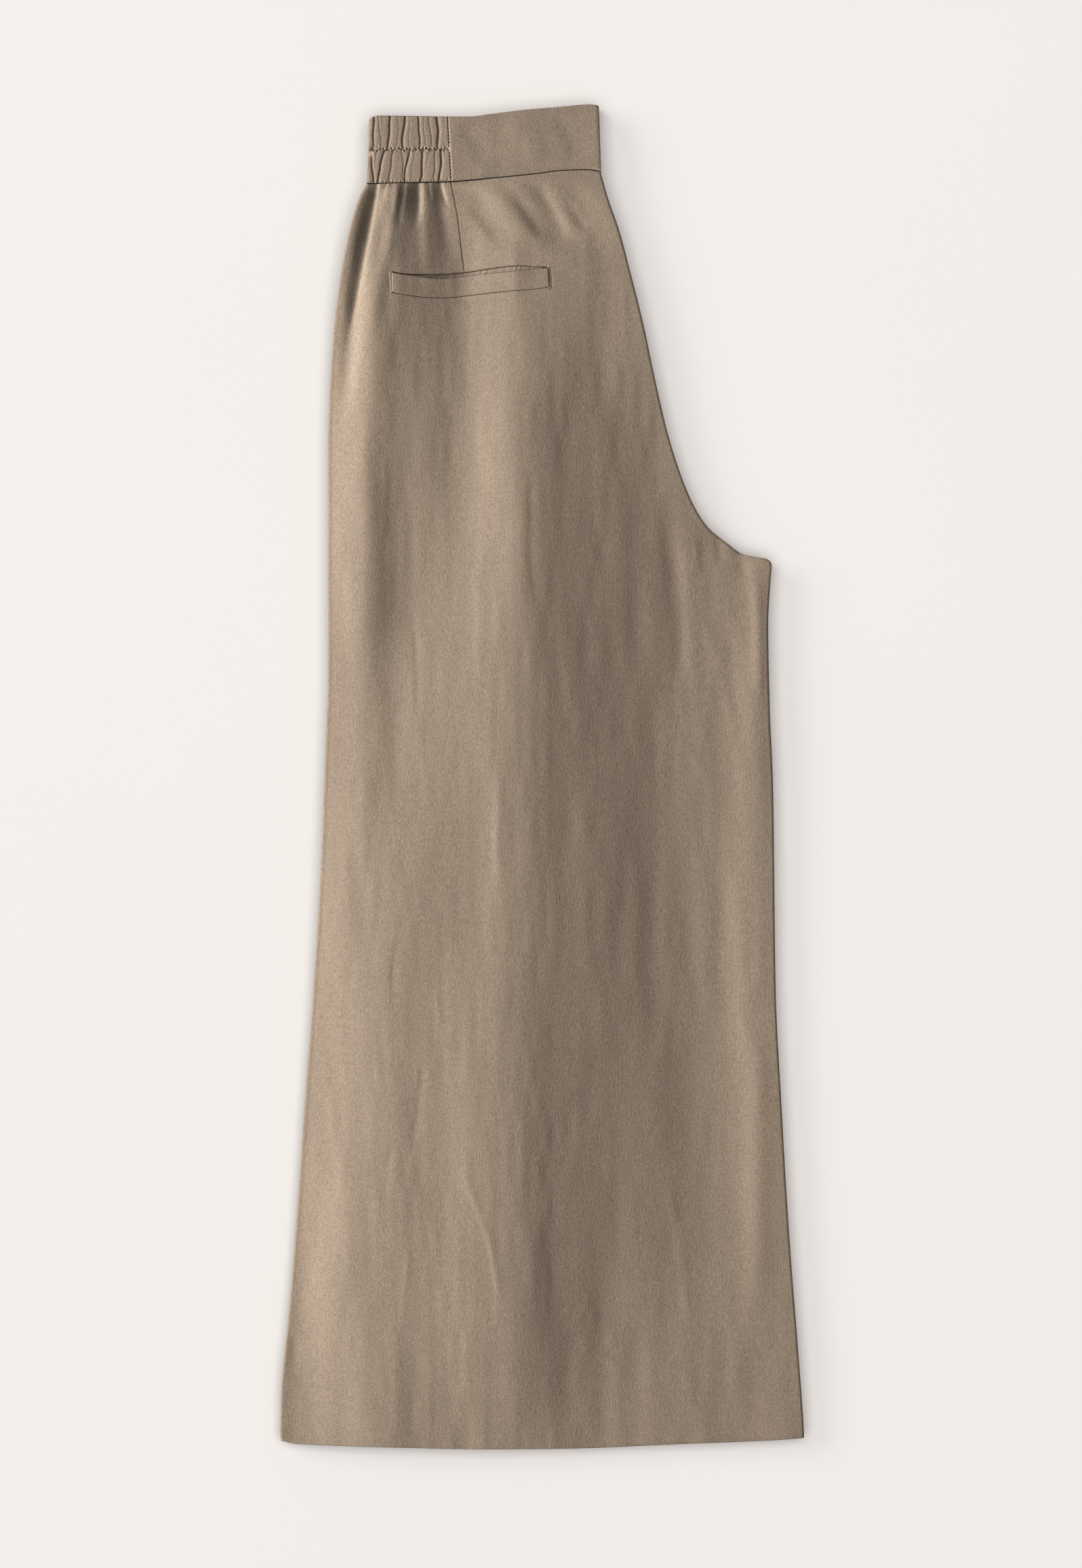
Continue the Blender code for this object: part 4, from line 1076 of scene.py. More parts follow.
# %% [markdown]
# ## The waistband's smooth stretch
#
# Across the centre back the band is plain, folded double along its top edge. It is one sheet
# that starts at the join on top, goes round the centre-back fold and ends at the join below.

# %% The smooth stretch
BAND_CREASES = table(
    CREASE_COLUMNS,
    (-62, 500, -40, 462, 2, 9.0, -0.35, 0.2),
    (-30, 506, 0, 462, 3, 10.0, 0.3, 0.2),
    (8, 508, 30, 466, 2, 8.0, -0.25, 0.2),
)
SMOOTH_BAND = table("rows columns seam_pull join_pull join_reach", (60, 97, 0.4, 0.5, 1.2))[0]
FOLD_TURNS = np.linspace(0.0, math.pi / 2, 13)  # half way round the centre-back fold
COARSER = 3  # the underside has one column for this many on top


def smooth_band():
    """The plain stretch, from the join on top round the centre-back fold to the join below."""
    rounded = BAND_CLOTH / 2
    share, turn = band_shares(SMOOTH_BAND.rows, rounded)
    rows = band_rows(share)
    bend = band_bend(share)
    right_shoulder = shoulders(rows)[1][:, 0]
    over_columns = face_columns(rows, join_x(share), right_shoulder, SMOOTH_BAND.columns)
    under_columns = over_columns[:, ::-COARSER]
    middle = stack_height(rows.left[:, 1]) / 2

    def sheet(depth, shift):
        x, y = face_plan(rows, over_columns, bend)
        from_join = x - join_x(share)[:, None]
        from_seam = share[:, None] * BAND_DEPTH
        dip = SMOOTH_BAND.seam_pull * (1 - ease(from_seam / BAND_PULL_REACH))
        dip = dip + SMOOTH_BAND.join_pull * (1 - ease(from_join / SMOOTH_BAND.join_reach))
        soft = 0.6 * uneven(x, y, SEEDS["smooth_band"]) + crease_height(x, y, BAND_CREASES)
        z = stack_height(y) + soft - dip - depth[:, None]
        under_x, under_y = face_plan(rows, under_columns, bend)
        under_z = depth[:, None] + 0.25 * dip[:, ::-COARSER] + np.zeros(under_x.shape)
        parts = [
            np.stack([x, y, z], axis=-1),
            rolled(rows, 1, depth, middle, z[:, -1], bend, FOLD_TURNS[-2::-1]),
            rolled(rows, 1, depth, middle, depth, bend, FOLD_TURNS[1:]),
            np.stack([under_x, under_y, under_z], axis=-1)[:, 1:],
        ]
        points = np.concatenate(parts, axis=1)
        points[..., 1] += shift[:, None]
        return points

    return rounded_shell("waistband_centre_back_cloth", sheet, rounded, turn, BAND_CLOTH)


centre_band = smooth_band()

# %% [markdown]
# ## The welt pocket
#
# A welt is a narrow strip of cloth folded double and sewn along its lower edge and its two ends,
# so its folded top edge is free and lets the mouth gape. Behind the gap the pocket's facing shows,
# drawn up a little by the sewing of the mouth, with small gathers.

# %% The welt
WELT_CLOTH = 0.9
WELT_ROWS = 26
WELT_COLUMNS = 221
WELT_TURNS = np.radians([170, 150, 125, 100, 75, 50, 25])  # round its folded top edge
WELT_LIFT = 0.22  # how far its face stands above the panel's
WELT_OVERLAP = 0.2  # how far it reaches over the panel at each end


def welt_strip():
    """The welt, plump between its seams, with a free top edge that stands off where it gapes."""
    rounded = WELT_CLOTH / 2
    shares = np.concatenate([np.zeros(len(WELT_TURNS)), np.linspace(0.0, 1.0, WELT_ROWS) ** 0.9])
    turn = np.concatenate([WELT_TURNS, np.zeros(WELT_ROWS)])
    first, last = POCKET_ENDS[0].left - WELT_OVERLAP, POCKET_ENDS[0].right + WELT_OVERLAP
    x = np.linspace(first, last, WELT_COLUMNS)[None, :]
    top = smooth_through(WELT_TOP, x) - 0.15 - rounded
    low = smooth_through(WELT_LOW, x) + 0.35
    y = top + (low - top) * shares[:, None]
    slant = (POCKET_ENDS[1].right - POCKET_ENDS[0].right) / (POCKET_ENDS[0].y - POCKET_ENDS[1].y)
    x = x + (y - top) * -slant * (x - x[0, 0]) / WELT_LENGTH
    gaping = smooth_through(LIP_LINE, x) - smooth_through(WELT_TOP, x)
    from_end = np.minimum(x - x[:, :1], x[:, -1:] - x)
    from_low = y - low
    edge = 0.2 * (1 - ease(from_end / 0.7)) + 0.35 * (1 - ease(from_low / 0.7))
    lifted = 0.16 * gaping * (1 - shares[:, None]) ** 2
    plump = 0.12 * np.sin(math.pi * np.clip(shares[:, None], 0, 1)) ** 0.8
    z = seat_height(x, y) + WELT_LIFT + lifted + plump - edge

    def strip(depth, shift):
        return np.stack([x, y + shift[:, None], z - depth[:, None]], axis=-1)

    return rounded_shell("pocket_welt_upper_cloth", strip, rounded, turn, WELT_CLOTH)


welt = welt_strip()

# %% The facing inside the mouth
FACING_CLOTH = 0.6
FACING_SINK = 1.0
FACING_SHORT = table("left right", (6.0, 5.0))[0]  # how far from the mouth's ends it starts and ends
FACING_GATHERS = table(
    "x width depth",
    (-78.0, 0.8, 0.35), (-70.5, 0.7, 0.5), (-64.8, 0.9, 0.5), (-58.6, 0.8, 0.4),
    (-50.2, 0.8, 0.5), (-45.6, 0.6, 0.6), (-40.4, 0.9, 0.5), (-33.0, 0.8, 0.5),
    (-27.2, 0.7, 0.4), (-21.5, 0.8, 0.6), (-18.4, 0.6, 0.8), (-14.6, 0.7, 0.4),
    (-8.4, 0.8, 0.3),
)


def facing_strip():
    """The strip behind the mouth's gap, drawn into small slanting gathers."""
    first, last = LIP_LINE[0].x + FACING_SHORT.left, LIP_LINE[-1].x - FACING_SHORT.right
    x = np.linspace(first, last, 201)[None, :]
    top = smooth_through(LIP_LINE, x) - 0.25
    low = smooth_through(WELT_TOP, x) - FACING_DEPTH
    y = top + (low - top) * np.linspace(0.0, 1.0, 15)[:, None]
    gathered = np.zeros(y.shape)
    for gather in FACING_GATHERS:
        slanted = x - gather.x - 0.25 * (y - top)
        gathered = np.maximum(gathered, 0.2 * gather.depth * cusp(slanted, 0.0, gather.width, 0.3))
    z = seat_height(x, y) - FACING_SINK - gathered
    outer = np.stack([np.broadcast_to(x, y.shape), y, z], axis=-1)
    inner = np.stack([np.broadcast_to(x, y.shape), y, z - FACING_CLOTH], axis=-1)
    return shell("pocket_facing_upper_cloth", outer, inner)


facing = facing_strip()

# %% [markdown]
# ## The layers underneath
#
# The other leg's back panel lies flat on the surface, with its own creases pressed into it as
# shallow troughs, a pressed welt and dart, and a hem. Between the two backs lie both front
# panels. Nothing shows of them but their edges, so they are one rounded block: at the side seams,
# the inseams and the hem it is cut into two lips, one for each leg, with a deep groove between.

# %% The back panel underneath
UNDER_CREASES = table(
    CREASE_COLUMNS,
    (-118, 446, -130, 330, -3, 4.0, -0.8, 0.3),
    (-100, 450, -104, 392, 2, 3.0, -0.7, 0.3),
    (-84, 450, -80, 400, -1, 3.0, -0.6, 0.3),
    (-40, 440, -8, 400, 2, 5.0, -0.4, 0.2),
    (6, 450, 34, 396, 2, 5.0, -0.4, 0.2),
    (-96, 340, -112, 60, -6, 9.0, -0.6, 0.2),
    (-20, 330, -6, 40, 5, 12.0, -0.5, 0.2),
    (70, 240, 92, -120, 6, 10.0, -0.6, 0.2),
    (-140, 30, -152, -210, 4, 5.0, -0.5, 0.3),
    (-60, -40, -78, -300, -5, 6.0, -0.5, 0.3),
    (24, -70, 40, -330, 4, 8.0, -0.5, 0.2),
    (120, 120, 150, -90, 6, 3.0, -0.5, 0.4),
    (118, -150, 134, -420, -5, 7.0, -0.5, 0.3),
    (-128, -240, -120, -360, 3, 2.6, -0.4, 0.3),
    (-30, -300, 4, -420, 6, 2.0, -0.5, 0.4),
    (60, -380, 74, -440, -2, 1.6, -0.4, 0.4),
    (-10, 150, 22, 96, 4, 2.4, -0.3, 0.3),
)
UNDER_SEAMS = table(
    CREASE_COLUMNS,
    (-114.5, 383.6, 4.6, 387.4, -4.5, 0.6, -0.45, 0.0),
    (-114.5, 368.0, 5.8, 371.8, -4.5, 0.6, -0.45, 0.0),
    (-114.5, 384.6, -114.5, 367.2, 0, 0.6, -0.45, 0.0),
    (4.6, 388.4, 5.8, 370.8, 0, 0.6, -0.45, 0.0),
    (-69.7, 453.0, -59.2, 383.0, -2, 0.7, -0.45, 0.0),
)
UNDER_ROW_STOPS = table(
    "left_y rows",
    (WAIST_LEFT_Y, 0), (448.0, 4), (352.0, 64), (190.0, 34), (148.0, 22), (-440.0, 92),
    (-456.0, 10), (-504.5, 17),
)
UNDER_COLUMNS = 145


def under_face(x, y):
    """Height of the lower panel's outer face over the surface that it lies on."""
    from_seam = smooth_through(WAIST_SEAM, x) - y
    troughs = -crease_height(x, y, UNDER_CREASES) - crease_height(x, y, UNDER_SEAMS, 0.05)
    ripples = np.maximum(0.0, 0.5 * uneven(x, y, SEEDS["underside"]))
    at_hem = 0.25 * np.exp(-(((y - smooth_through(HEM_LINE, x) - HEM_DEPTH) / 0.8) ** 2))
    return troughs + ripples + at_hem + 0.6 * (1 - ease((from_seam + 0.2) / SEAM_REACH))


def back_underneath():
    """The other leg's back panel, whose outer face lies on the surface."""
    turned_rows = len(HEM_TURNS)
    plain = spaced(UNDER_ROW_STOPS)
    starts = np.concatenate([plain, np.full(turned_rows, plain[-1])])
    turn = np.concatenate([np.zeros(len(plain)), HEM_TURNS])
    rows = panel_rows(starts)
    columns = np.linspace(0.0, 1.0, UNDER_COLUMNS)

    def sheet(inset, shift):
        def height(x, y):
            return under_face(x, y) + inset[:, None]

        points = row_points(rows, columns, inset, height, panel_bend, -1)
        points[..., 1] += shift[:, None]
        return points

    outer = sheet(HEM_ROUND * (1 - np.cos(turn)), -HEM_ROUND * np.sin(turn))
    spread = np.zeros(len(starts))
    spread[-turned_rows:] = HEM_SPREAD * np.arange(turned_rows, 0, -1)
    inner = sheet(leg_cloth(starts), spread)
    return shell("back_lower_cloth", outer[::-1], inner[::-1])


back_lower = back_underneath()

# %% Layered edges
GROOVE = 0.9
LIP_ANGLES = np.radians([8, 20, 34, 50, 64])  # round a side edge, from its seam to the groove
END_ANGLES = np.radians([40, 65, 90, 115, 140])  # round a cut end's lip
GROOVE_LEVELS = (len(LIP_ANGLES) + 1, len(LIP_ANGLES) + 2)  # the two innermost levels
LAYER_GAP = 0.5
LEVEL_STEP = 0.05  # levels that don't show stay this far apart
FULL_SPLIT = 0.6  # from this value of "apart" on, the groove between the legs is fully deep


def side_levels(rows, side, depth):
    """(inset, height) of every row's points down a rolled edge: two lips and a groove."""
    which = 0 if side < 0 else 1
    stack, up, roll = edge_heights(rows)[which], seam_heights(rows)[which], rows.roll
    shown = 1.0 if side < 0 else np.minimum(1.0, rows.apart / FULL_SPLIT)
    lip = [(roll * 0 + 0.2, up)]
    lip += [(roll * (1 - math.cos(a)), up * (1 - math.sin(a)) + 0.15) for a in LIP_ANGLES]
    lip += [(roll * (1 - math.cos(LIP_ANGLES[-1])) + 1.5, roll * 0 + 0.12)]
    lip += [(inset, -z) for inset, z in reversed(lip)]
    levels = []
    for step, (inset, z) in enumerate(lip):
        tucked = -LEVEL_STEP * (step + 1)
        levels.append((depth + (inset - depth) * shown, stack / 2 + tucked + (z - tucked) * shown))
    return levels


def end_levels(top, low, groove_in):
    """(inset, height) of the points down a cut end: two round lips and a groove between them."""
    bulge = 0.9
    middle = (top + low) / 2
    half = (top - middle - GROOVE / 2) / 2
    centre = middle + GROOVE / 2 + half
    lip = [(bulge * (1 - math.sin(a)), centre + half * math.cos(a)) for a in END_ANGLES]
    upper = [(bulge, top), *lip, (groove_in, middle + GROOVE / 4)]
    return upper + [(inset, 2 * middle - z) for inset, z in reversed(upper)]


print("round a block's edge there are", len(end_levels(10.0, 0.0, 6.0)), "levels of points")

# %% A block of hidden layers
def hidden_block(name, rows, top, side_depth, floor, bend, groove_ends):
    """A rounded block under a grid of points, with its sides and ends worked round it."""
    count_rows, count_columns = top.shape[:2]
    numbers = rim_indices(count_rows, count_columns)
    left_floor, right_floor = shoulders(rows)
    share = np.linspace(0.0, 1.0, count_columns)[None, :, None]
    flat = left_floor[:, None, :] * (1 - share) + right_floor[:, None, :] * share
    flat_y = flat[..., 1] + bend(rows, flat[..., 0])
    bottom = np.stack([flat[..., 0], flat_y, np.full(flat_y.shape, floor)], axis=-1)
    sides = {side: side_levels(rows, side, side_depth[side]) for side in (-1, 1)}
    loops = [[] for _ in sides[-1]]
    for number in numbers:
        r, c = divmod(number, count_columns)
        x, y, z = top[r, c]
        at_end = -1 if r == 0 else 1 if r == count_rows - 1 else 0
        groove_in = groove_ends[0] if at_end < 0 else groove_ends[1]
        if c in (0, count_columns - 1):
            side = -1 if c == 0 else 1
            edge = rows.left[r] if side < 0 else rows.right[r]
            into = rows.left_in[r] if side < 0 else rows.right_in[r]
            shift = y - (edge + into * side_depth[side])[1]
            for k, (inset, level) in enumerate(sides[side]):
                px, py = edge + into * inset[r]
                further = at_end * groove_in if k in GROOVE_LEVELS else 0
                loops[k].append((px, py + shift + further, level[r]))
            continue
        low = bottom[r, c, 2] + 0.1
        for k, (inset, level) in enumerate(end_levels(z - 0.05, low, groove_in)):
            loops[k].append((x, y + at_end * inset, level))
    first = count_rows * count_columns
    faces = grid_faces(count_rows, count_columns)
    faces += grid_faces(count_rows, count_columns, first, flip=True)
    bands = [numbers]
    for k in range(len(loops)):
        start = 2 * first + k * len(numbers)
        bands.append(list(range(start, start + len(numbers))))
    bands.append(rim_indices(count_rows, count_columns, first))
    for band, following in zip(bands, bands[1:]):
        for k in range(len(band)):
            after = (k + 1) % len(band)
            faces.append([band[k], following[k], following[after], band[after]])
    points = np.concatenate([top.reshape(-1, 3), bottom.reshape(-1, 3)] + [np.array(l) for l in loops])
    made = add_mesh(name, points, faces)
    print(f"{name}: {len(faces)} faces")
    return made

# %% The front panels
BLOCK_ROW_STOPS = table(
    "left_y rows", (451.2, 0), (345.0, 40), (190.0, 30), (148.0, 28), (-504.0, 110)
)
BLOCK_COLUMNS = 73
BLOCK_ROOM = 0.9  # how far the block stays below the back panel on top of it
POCKET_ROOM = table("x y half_wide fade half_long", (-55.0, 378.0, 130.0, 60.0, 14.0))[0]


def fronts_block():
    """Both front panels, with a hollow under the pocket's mouth."""
    starts = spaced(BLOCK_ROW_STOPS)
    rows = panel_rows(starts)
    hidden = leg_cloth(starts) + LAYER_GAP
    deepest = HEM_CLOTH + LAYER_GAP

    def height(x, y):
        settled = stack_height(y) + fold_height(x, y) - hidden[:, None]
        along = np.exp(-(((y - POCKET_ROOM.y) / POCKET_ROOM.half_long) ** 4))
        across = ease((POCKET_ROOM.half_wide - abs(x - POCKET_ROOM.x)) / POCKET_ROOM.fade)
        return settled - BLOCK_ROOM - MOUTH_SINK * 1.2 * along * across

    top = row_points(rows, np.linspace(0.0, 1.0, BLOCK_COLUMNS), deepest, height, panel_bend)
    sides = {-1: deepest, 1: deepest}
    grooves = (0.9, 9.0)  # how far in the groove goes at the waist and at the hem
    return hidden_block("fronts_folded_cloth", rows, top, sides, deepest, panel_bend, grooves)


fronts = fronts_block()

# %% The front of the waistband
ELASTIC_ROOM = 2.6  # how much lower the block lies under the elastic
BAND_BLOCK = table("rows columns below_top", (25, 65, 2.0))[0]


def front_band_block():
    """The front half of the waistband."""
    share = np.linspace(1.0 - BAND_BLOCK.below_top / BAND_DEPTH, 0.0, BAND_BLOCK.rows)
    rows = band_rows(share)
    bend = band_bend(share)
    cover = ELASTIC_CLOTH + LAYER_GAP

    def height(x, y):
        room = ELASTIC_ROOM * (1 - ease((x - BAND_JOIN_X - 2.0) / 8.0))
        return stack_height(y) - cover - room - 0.5

    top = row_points(rows, np.linspace(0.0, 1.0, BAND_BLOCK.columns), cover, height, bend)
    sides, floor_z = {-1: cover, 1: cover}, cover + 0.6
    grooves = (6.0, 0.9)  # how far in the groove goes at the top edge and at the waist seam
    return hidden_block("waistband_fronts_cloth", rows, top, sides, floor_z, bend, grooves)


front_band = front_band_block()

# %% [markdown]
# ## Sewing
#
# Thread is modelled where it shows: the row across the elastic, the row down the join, the tacks
# at the welt's ends and the hem's picks. A stitch is a short arched capsule that dives into the
# cloth at both ends, and each row of them is one mesh made by a loop.

# %% Stitches
def stitches(name, places):
    """One mesh of thread. Each place has a middle, a direction in plan, a length and a width."""
    rings, sides = np.linspace(-1.0, 1.0, 7), 8
    points, faces = [], []
    for x, y, z, turn, length, width in places:
        first = len(points)
        ahead = np.array([math.cos(turn), math.sin(turn), 0.0])
        aside = np.array([-math.sin(turn), math.cos(turn), 0.0])
        for along in rings:
            radius = width / 2 * math.sqrt(max(0.04, 1 - along**2 * 0.96))
            middle = np.array([x, y, z - 0.6 * width * along**4]) + ahead * along * length / 2
            for side in range(sides):
                angle = 2 * math.pi * side / sides
                up = np.array([0.0, 0.0, math.sin(angle)])
                points.append(middle + radius * (aside * math.cos(angle) + up))
        for ring in range(len(rings) - 1):
            for side in range(sides):
                a = first + ring * sides + side
                b = first + ring * sides + (side + 1) % sides
                faces.append([a, b, b + sides, a + sides])
        faces.append(list(range(first + sides - 1, first - 1, -1)))
        last = first + (len(rings) - 1) * sides
        faces.append(list(range(last, last + sides)))
    made = add_mesh(name, points, faces)
    print(f"{name}: {len(places)} stitches")
    return made

# %% Rows of stitches
STITCH = table("length pitch width", (2.0, 2.7, 0.38))[0]
# A row of tacks at each end of the welt, and a short bar at each of its corners.
TACKS = table("count first pitch length width lift", (6, 4.4, 2.5, 1.7, 0.3, 0.1))[0]
BARS = table("below_top above_low length width lift", (4.2, 0.8, 1.8, 0.34, 0.3))[0]
WELT_ENDS = table("side turn inside bar_up", ("left", 0.0, 0.5, 0.0), ("right", 0.15, -0.5, 3.4))
PICK = table("length width lift", (1.5, 0.26, 0.04))[0]


def on_elastic(x, share, lift):
    """A place on the gathered stretch, so far above its cloth."""
    dip = gathers(np.array([x]), np.array([share]))[0]
    y = float(band_line(share, x))
    return x, y, float(stack_height(y) - dip) + lift


def on_seat(x, y, lift, dip=0.0):
    """A place on the back panel, so far above its cloth."""
    return x, y, float(seat_height(np.array([x]), np.array([y]))[0] - dip) + lift


def elastic_row():
    """The row of stitching that crosses the elastic."""
    places = []
    for k, x in enumerate(np.arange(-130.0, BAND_JOIN_X - 1.5, STITCH.pitch)):
        turn = 0.2 * math.sin(1.7 * k)
        places.append((*on_elastic(x, STITCH_ROW, 0.05), turn, STITCH.length, 0.8 * STITCH.width))
    return stitches("thread_elastic_row", places)


def join_row():
    """The row of stitching down the elastic's end."""
    places = []
    for share in np.arange(0.05, 0.985, STITCH.pitch / BAND_DEPTH):
        place = on_elastic(join_x(share) - 0.7, share, 0.12)
        places.append((*place, math.radians(93), STITCH.length, STITCH.width))
    return stitches("thread_join_row", places)


def welt_tacks():
    """The tacks and bars that hold the welt's two ends."""
    top, low = POCKET_ENDS
    places = []
    for end in WELT_ENDS:
        for k in range(TACKS.count):
            y = top.y - TACKS.first - TACKS.pitch * k
            x = float(smooth_through(POCKET_ENDS, y, end.side)) + end.inside
            place = on_seat(x, y, TACKS.lift)
            places.append((*place, math.pi / 2 + end.turn, TACKS.length, TACKS.width))
        for y in (top.y - BARS.below_top, low.y + BARS.above_low):
            x = float(smooth_through(POCKET_ENDS, y, end.side))
            place = on_seat(x, y + end.bar_up, BARS.lift)
            places.append((*place, end.turn, BARS.length, BARS.width))
    return stitches("thread_welt_tacks", places)


def hem_picks():
    """The hem's blind stitches, of which only small picks show."""
    places = []
    for x in np.arange(-186.0, 188.0, HEM_PICK_PITCH):
        x = float(x) + 0.8 * math.sin(x / 9.0)
        y = float(smooth_through(HEM_LINE, x)) + HEM_DEPTH
        dip = hem_dip(np.array([x]), np.array([y]))[0]
        places.append((*on_seat(x, y, PICK.lift, dip), 0.3 * math.sin(x), PICK.length, PICK.width))
    return stitches("thread_hem_picks", places)


sewing = [elastic_row(), join_row(), welt_tacks(), hem_picks()]

# %% [markdown]
# ## Finishes
#
# Linen is a plain weave of uneven yarn: thick places, called slubs, show as short streaks along
# the yarn, and the colour varies softly from yarn to yarn. The finish is worked out from the
# place on the cloth, so the weave keeps its real size. Cloth that stands upright, as at the edges
# of the stack, is painted darker: painted shade, standing for the shade between the layers. To
# keep the arithmetic readable, a small class wraps one output of a node, and writing a sum or a
# product with it adds the Math node.

# %% A class for arithmetic on sockets
class Wire:
    """One output of a node. Sums and products of wires, or of a wire and a number, are wires."""

    def __init__(self, finish, socket):
        self.finish = finish
        self.socket = socket

    def math(self, operation, first, second):
        """The wire that a Math node gives for two wires or numbers."""
        return self.finish.node("ShaderNodeMath", {"operation": operation}, {0: first, 1: second})

    def __add__(self, other):
        return self.math("ADD", self, other)

    def __sub__(self, other):
        return self.math("SUBTRACT", self, other)

    def __mul__(self, other):
        return self.math("MULTIPLY", self, other)

    def __rsub__(self, other):
        return self.math("SUBTRACT", other, self)

    __radd__ = __add__
    __rmul__ = __mul__


class Finish:
    """A material and its nodes."""

    def __init__(self, name):
        self.material = bpy.data.materials.new(name)
        self.material.use_nodes = True
        self.tree = self.material.node_tree
        self.shader = self.tree.nodes["Principled BSDF"]

    def join(self, value, socket):
        """Joins a wire to a socket, or sets the socket to a plain value."""
        if isinstance(value, Wire):
            self.tree.links.new(value.socket, socket)
        else:
            socket.default_value = value

    def node(self, kind, settings, sockets, output=0):
        """A node of a kind, its settings made first, then its sockets; gives one output."""
        made = self.tree.nodes.new(kind)
        for name, value in settings.items():
            setattr(made, name, value)
        for name, value in sockets.items():
            self.join(value, made.inputs[name])
        return Wire(self, made.outputs[output])

    def place(self):
        """The place on the object, in metres."""
        return self.node("ShaderNodeTexCoord", {}, {}, "Object")

    def noise(self, place, across, along, detail=2.0, rough=0.5):
        """Noise whose lumps are so many millimetres across and along the garment."""
        scale = tuple(1 / (size * MM) for size in (across, along, across))
        stretched = self.node(
            "ShaderNodeVectorMath", {"operation": "MULTIPLY"}, {0: place, 1: scale}
        )
        sockets = {"Vector": stretched, "Scale": 1.0, "Detail": detail, "Roughness": rough}
        return self.node("ShaderNodeTexNoise", {}, sockets)

    def mix(self, share, first, second):
        """A colour between two others."""
        first, second = (
            colour if isinstance(colour, Wire) else (*colour, 1.0) for colour in (first, second)
        )
        return self.node("ShaderNodeMix", {"data_type": "RGBA"}, {0: share, 6: first, 7: second}, 2)

    def finish(self, colour, roughness, height, distance):
        """Joins the colour, the roughness and the relief, as deep as distance, to the shader."""
        self.join(colour, self.shader.inputs["Base Color"])
        self.join(roughness, self.shader.inputs["Roughness"])
        sockets = {"Height": height, "Distance": distance, "Strength": 1.0}
        self.join(self.node("ShaderNodeBump", {}, sockets), self.shader.inputs["Normal"])
        return self.material


print("a wire knows how to", [name for name in vars(Wire) if not name.startswith("__")])

# %% Linen
LINEN_RELIEF = 0.00014
SHEEN = 0.06
SHEEN_ROUGHNESS = 0.6
LINEN_SPECULAR = 0.25
# The share of the cloth's own colour, from how far its normal points up or down; the rest is the
# painted shade colour.
PAINTED_SHADE_GAIN = 2.2
PAINTED_SHADE_START = 1.1
# For each finish: its painted shade colour for upright cloth, that of its dark yarns and that of its
# light ones.
LINENS = table(
    "name edge dark light",
    ("taupe_linen", (0.085, 0.064, 0.046), (0.198, 0.149, 0.106), (0.320, 0.245, 0.181)),
    # The facing's finish is the same linen a little darker: painted shade for the pocket's mouth.
    ("taupe_facing", (0.08, 0.06, 0.043), (0.190, 0.142, 0.104), (0.30, 0.230, 0.172)),
)


def linen(name, edge, dark, light):
    """Linen in one range of colours, painted darker where the cloth stands upright, as painted shade.
    """
    cloth = Finish(name)
    place = cloth.place()
    down_slubs = cloth.noise(place, 1.2, 4.5)
    cross_slubs = cloth.noise(place, 5.0, 1.1)
    grain = cloth.noise(place, 0.6, 0.7, rough=0.6)
    flecks = cloth.noise(place, 1.3, 1.6, detail=1.0)
    mottle = cloth.noise(place, 26.0, 48.0)
    tone = (
        0.5
        + (down_slubs - 0.5) * 0.6
        + (cross_slubs - 0.5) * 0.4
        + (grain - 0.5) * 2.2
        + (flecks - 0.5) * 1.3
        + (mottle - 0.5) * 0.35
    )
    relief = down_slubs * 0.5 + cross_slubs * 0.3 + grain * 0.5 + flecks * 0.3
    cloth.shader.inputs["Sheen Weight"].default_value = SHEEN
    cloth.shader.inputs["Sheen Roughness"].default_value = SHEEN_ROUGHNESS
    cloth.shader.inputs["Specular IOR Level"].default_value = LINEN_SPECULAR
    roughness = 0.86 + (grain - 0.5) * 0.12
    normal = cloth.node("ShaderNodeTexCoord", {}, {}, "Normal")
    upward = cloth.node("ShaderNodeSeparateXYZ", {}, {"Vector": normal}, "Z")
    unshaded_share = upward.math("ABSOLUTE", upward, 0.0) * PAINTED_SHADE_GAIN - PAINTED_SHADE_START
    # Upright cloth is mixed towards the edge colour, which is painted shade.
    colour = cloth.mix(unshaded_share, edge, cloth.mix(tone, dark, light))
    return cloth.finish(colour, roughness, relief, LINEN_RELIEF)


linen_cloth, painted_shade_facing_linen = (linen(*row) for row in LINENS)
print("linens:", linen_cloth.name, "and", painted_shade_facing_linen.name)

# %% Thread and floor
def thread():
    """Sewing thread a shade lighter than the linen, with its twist as fine noise."""
    yarn = Finish("taupe_thread")
    place = yarn.place()
    twist = yarn.noise(place, 0.25, 0.25)
    yarn.shader.inputs["Specular IOR Level"].default_value = 0.35
    colour = yarn.mix(twist, (0.20, 0.15, 0.11), (0.32, 0.25, 0.19))
    return yarn.finish(colour, 0.62 + twist * 0.1, twist, 0.0001)


def pale_floor():
    """A matt pale surface, a little cloudy."""
    board = Finish("pale_floor")
    place = board.place()
    cloudy = board.noise(place, 240.0, 240.0)
    tooth = board.noise(place, 1.4, 1.4)
    board.shader.inputs["Specular IOR Level"].default_value = 0.1
    colour = board.mix(cloudy, (0.905, 0.872, 0.848), (0.915, 0.882, 0.858))
    return board.finish(colour, 0.92 + tooth * 0.04, tooth, 0.00004)


FLOOR_HALF = 2500.0
FLOOR_LEVEL = -0.05
FLOOR_POINTS = 11
steps = np.linspace(-FLOOR_HALF, FLOOR_HALF, FLOOR_POINTS)
across, along = np.meshgrid(steps, steps[::-1])
floor_grid = np.stack([across, along, np.full(across.shape, FLOOR_LEVEL)], axis=-1)
floor = add_mesh("floor", floor_grid, grid_faces(FLOOR_POINTS, FLOOR_POINTS))
floor.data.materials.append(pale_floor())
floor_lit.objects.link(floor)
thread_finish = thread()
print("finishes:", [finish.name for finish in bpy.data.materials if finish.use_nodes][-4:])
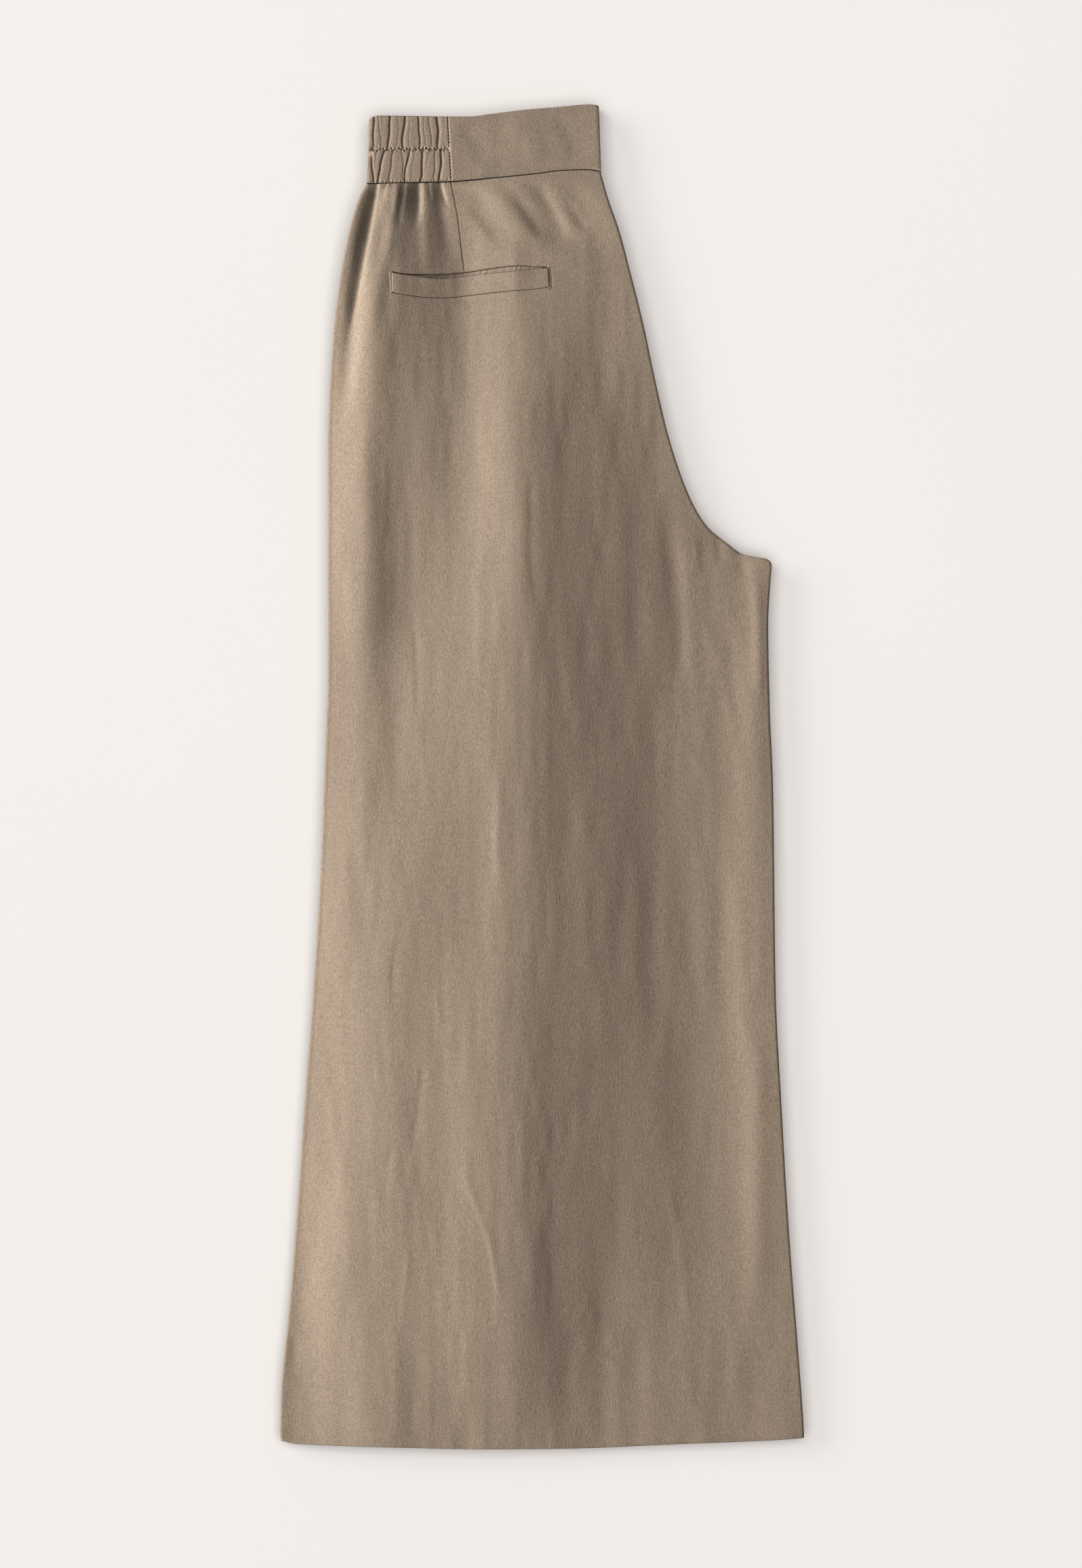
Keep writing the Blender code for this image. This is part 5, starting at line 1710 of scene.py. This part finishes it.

# %% [markdown]
# ## What each piece stands for
#
# Every piece rides on the garment's one body and stands for the packed solid of the same name.
# The table gives the flat size that each cloth piece was cut to.

# %% Pieces, finishes and flat sizes
STRETCH_ROWS = ("thread_elastic_row", "thread_join_row")
# Each piece, the solid that it stands for, the flat cloth that it was cut from in metres and square
# metres, how it is held, what it rests on and which rows of thread are sewn through it.
PIECES = table(
    "piece node wide long area held rests_on sewing",
    (back_upper, "back_upper", 0.42, 1.03, 0.345, "laid", ("fronts_folded",), ("thread_hem_picks",)),
    (back_lower, "back_lower", 0.42, 1.03, 0.345, "laid", (), ()),
    (fronts, "fronts_folded", 0.42, 1.03, 0.345, "folded", ("back_lower",), ()),
    (
        elastic_upper, "waistband_elastic_upper", 0.095, 0.05, None, "gathered",
        ("waistband_fronts_folded",), STRETCH_ROWS,
    ),
    (elastic_lower, "waistband_elastic_lower", 0.09, 0.05, None, "gathered", (), ()),
    (centre_band, "waistband_centre_back", 0.243, 0.05, None, "folded", (), ()),
    (
        front_band, "waistband_fronts_folded", 0.176, 0.05, None, "folded",
        ("waistband_elastic_lower",), (),
    ),
    (
        welt, "pocket_welt_upper", 0.12, 0.0155, None, "folded",
        ("back_upper",), ("thread_welt_tacks",),
    ),
    (facing, "pocket_facing_upper", 0.115, 0.01, None, "laid", ("back_upper",), ()),
)
for cut in PIECES:
    [piece for piece in sewing if piece.name in cut.sewing]
seen_from_above = (back_upper, elastic_upper, centre_band, welt, facing)
for piece, node in [(cut.piece, cut.node) for cut in PIECES]:
    in_facing = piece is facing
    (garment_lit if piece in seen_from_above else floor_lit).objects.link(piece)
    # The facing takes the darker copy of the linen, which is painted shade.
    piece.data.materials.append(painted_shade_facing_linen if in_facing else linen_cloth)
    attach(piece, "root")
    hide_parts(node)
    areas = np.zeros(len(piece.data.polygons))
    piece.data.polygons.foreach_get("area", areas)
    print(f"{piece.name}: {len(areas)} faces, {areas.sum() / 2:.4f} m2 of cloth")
for piece in sewing:
    piece.data.materials.append(thread_finish)
    garment_lit.objects.link(piece)
    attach(piece, "root")
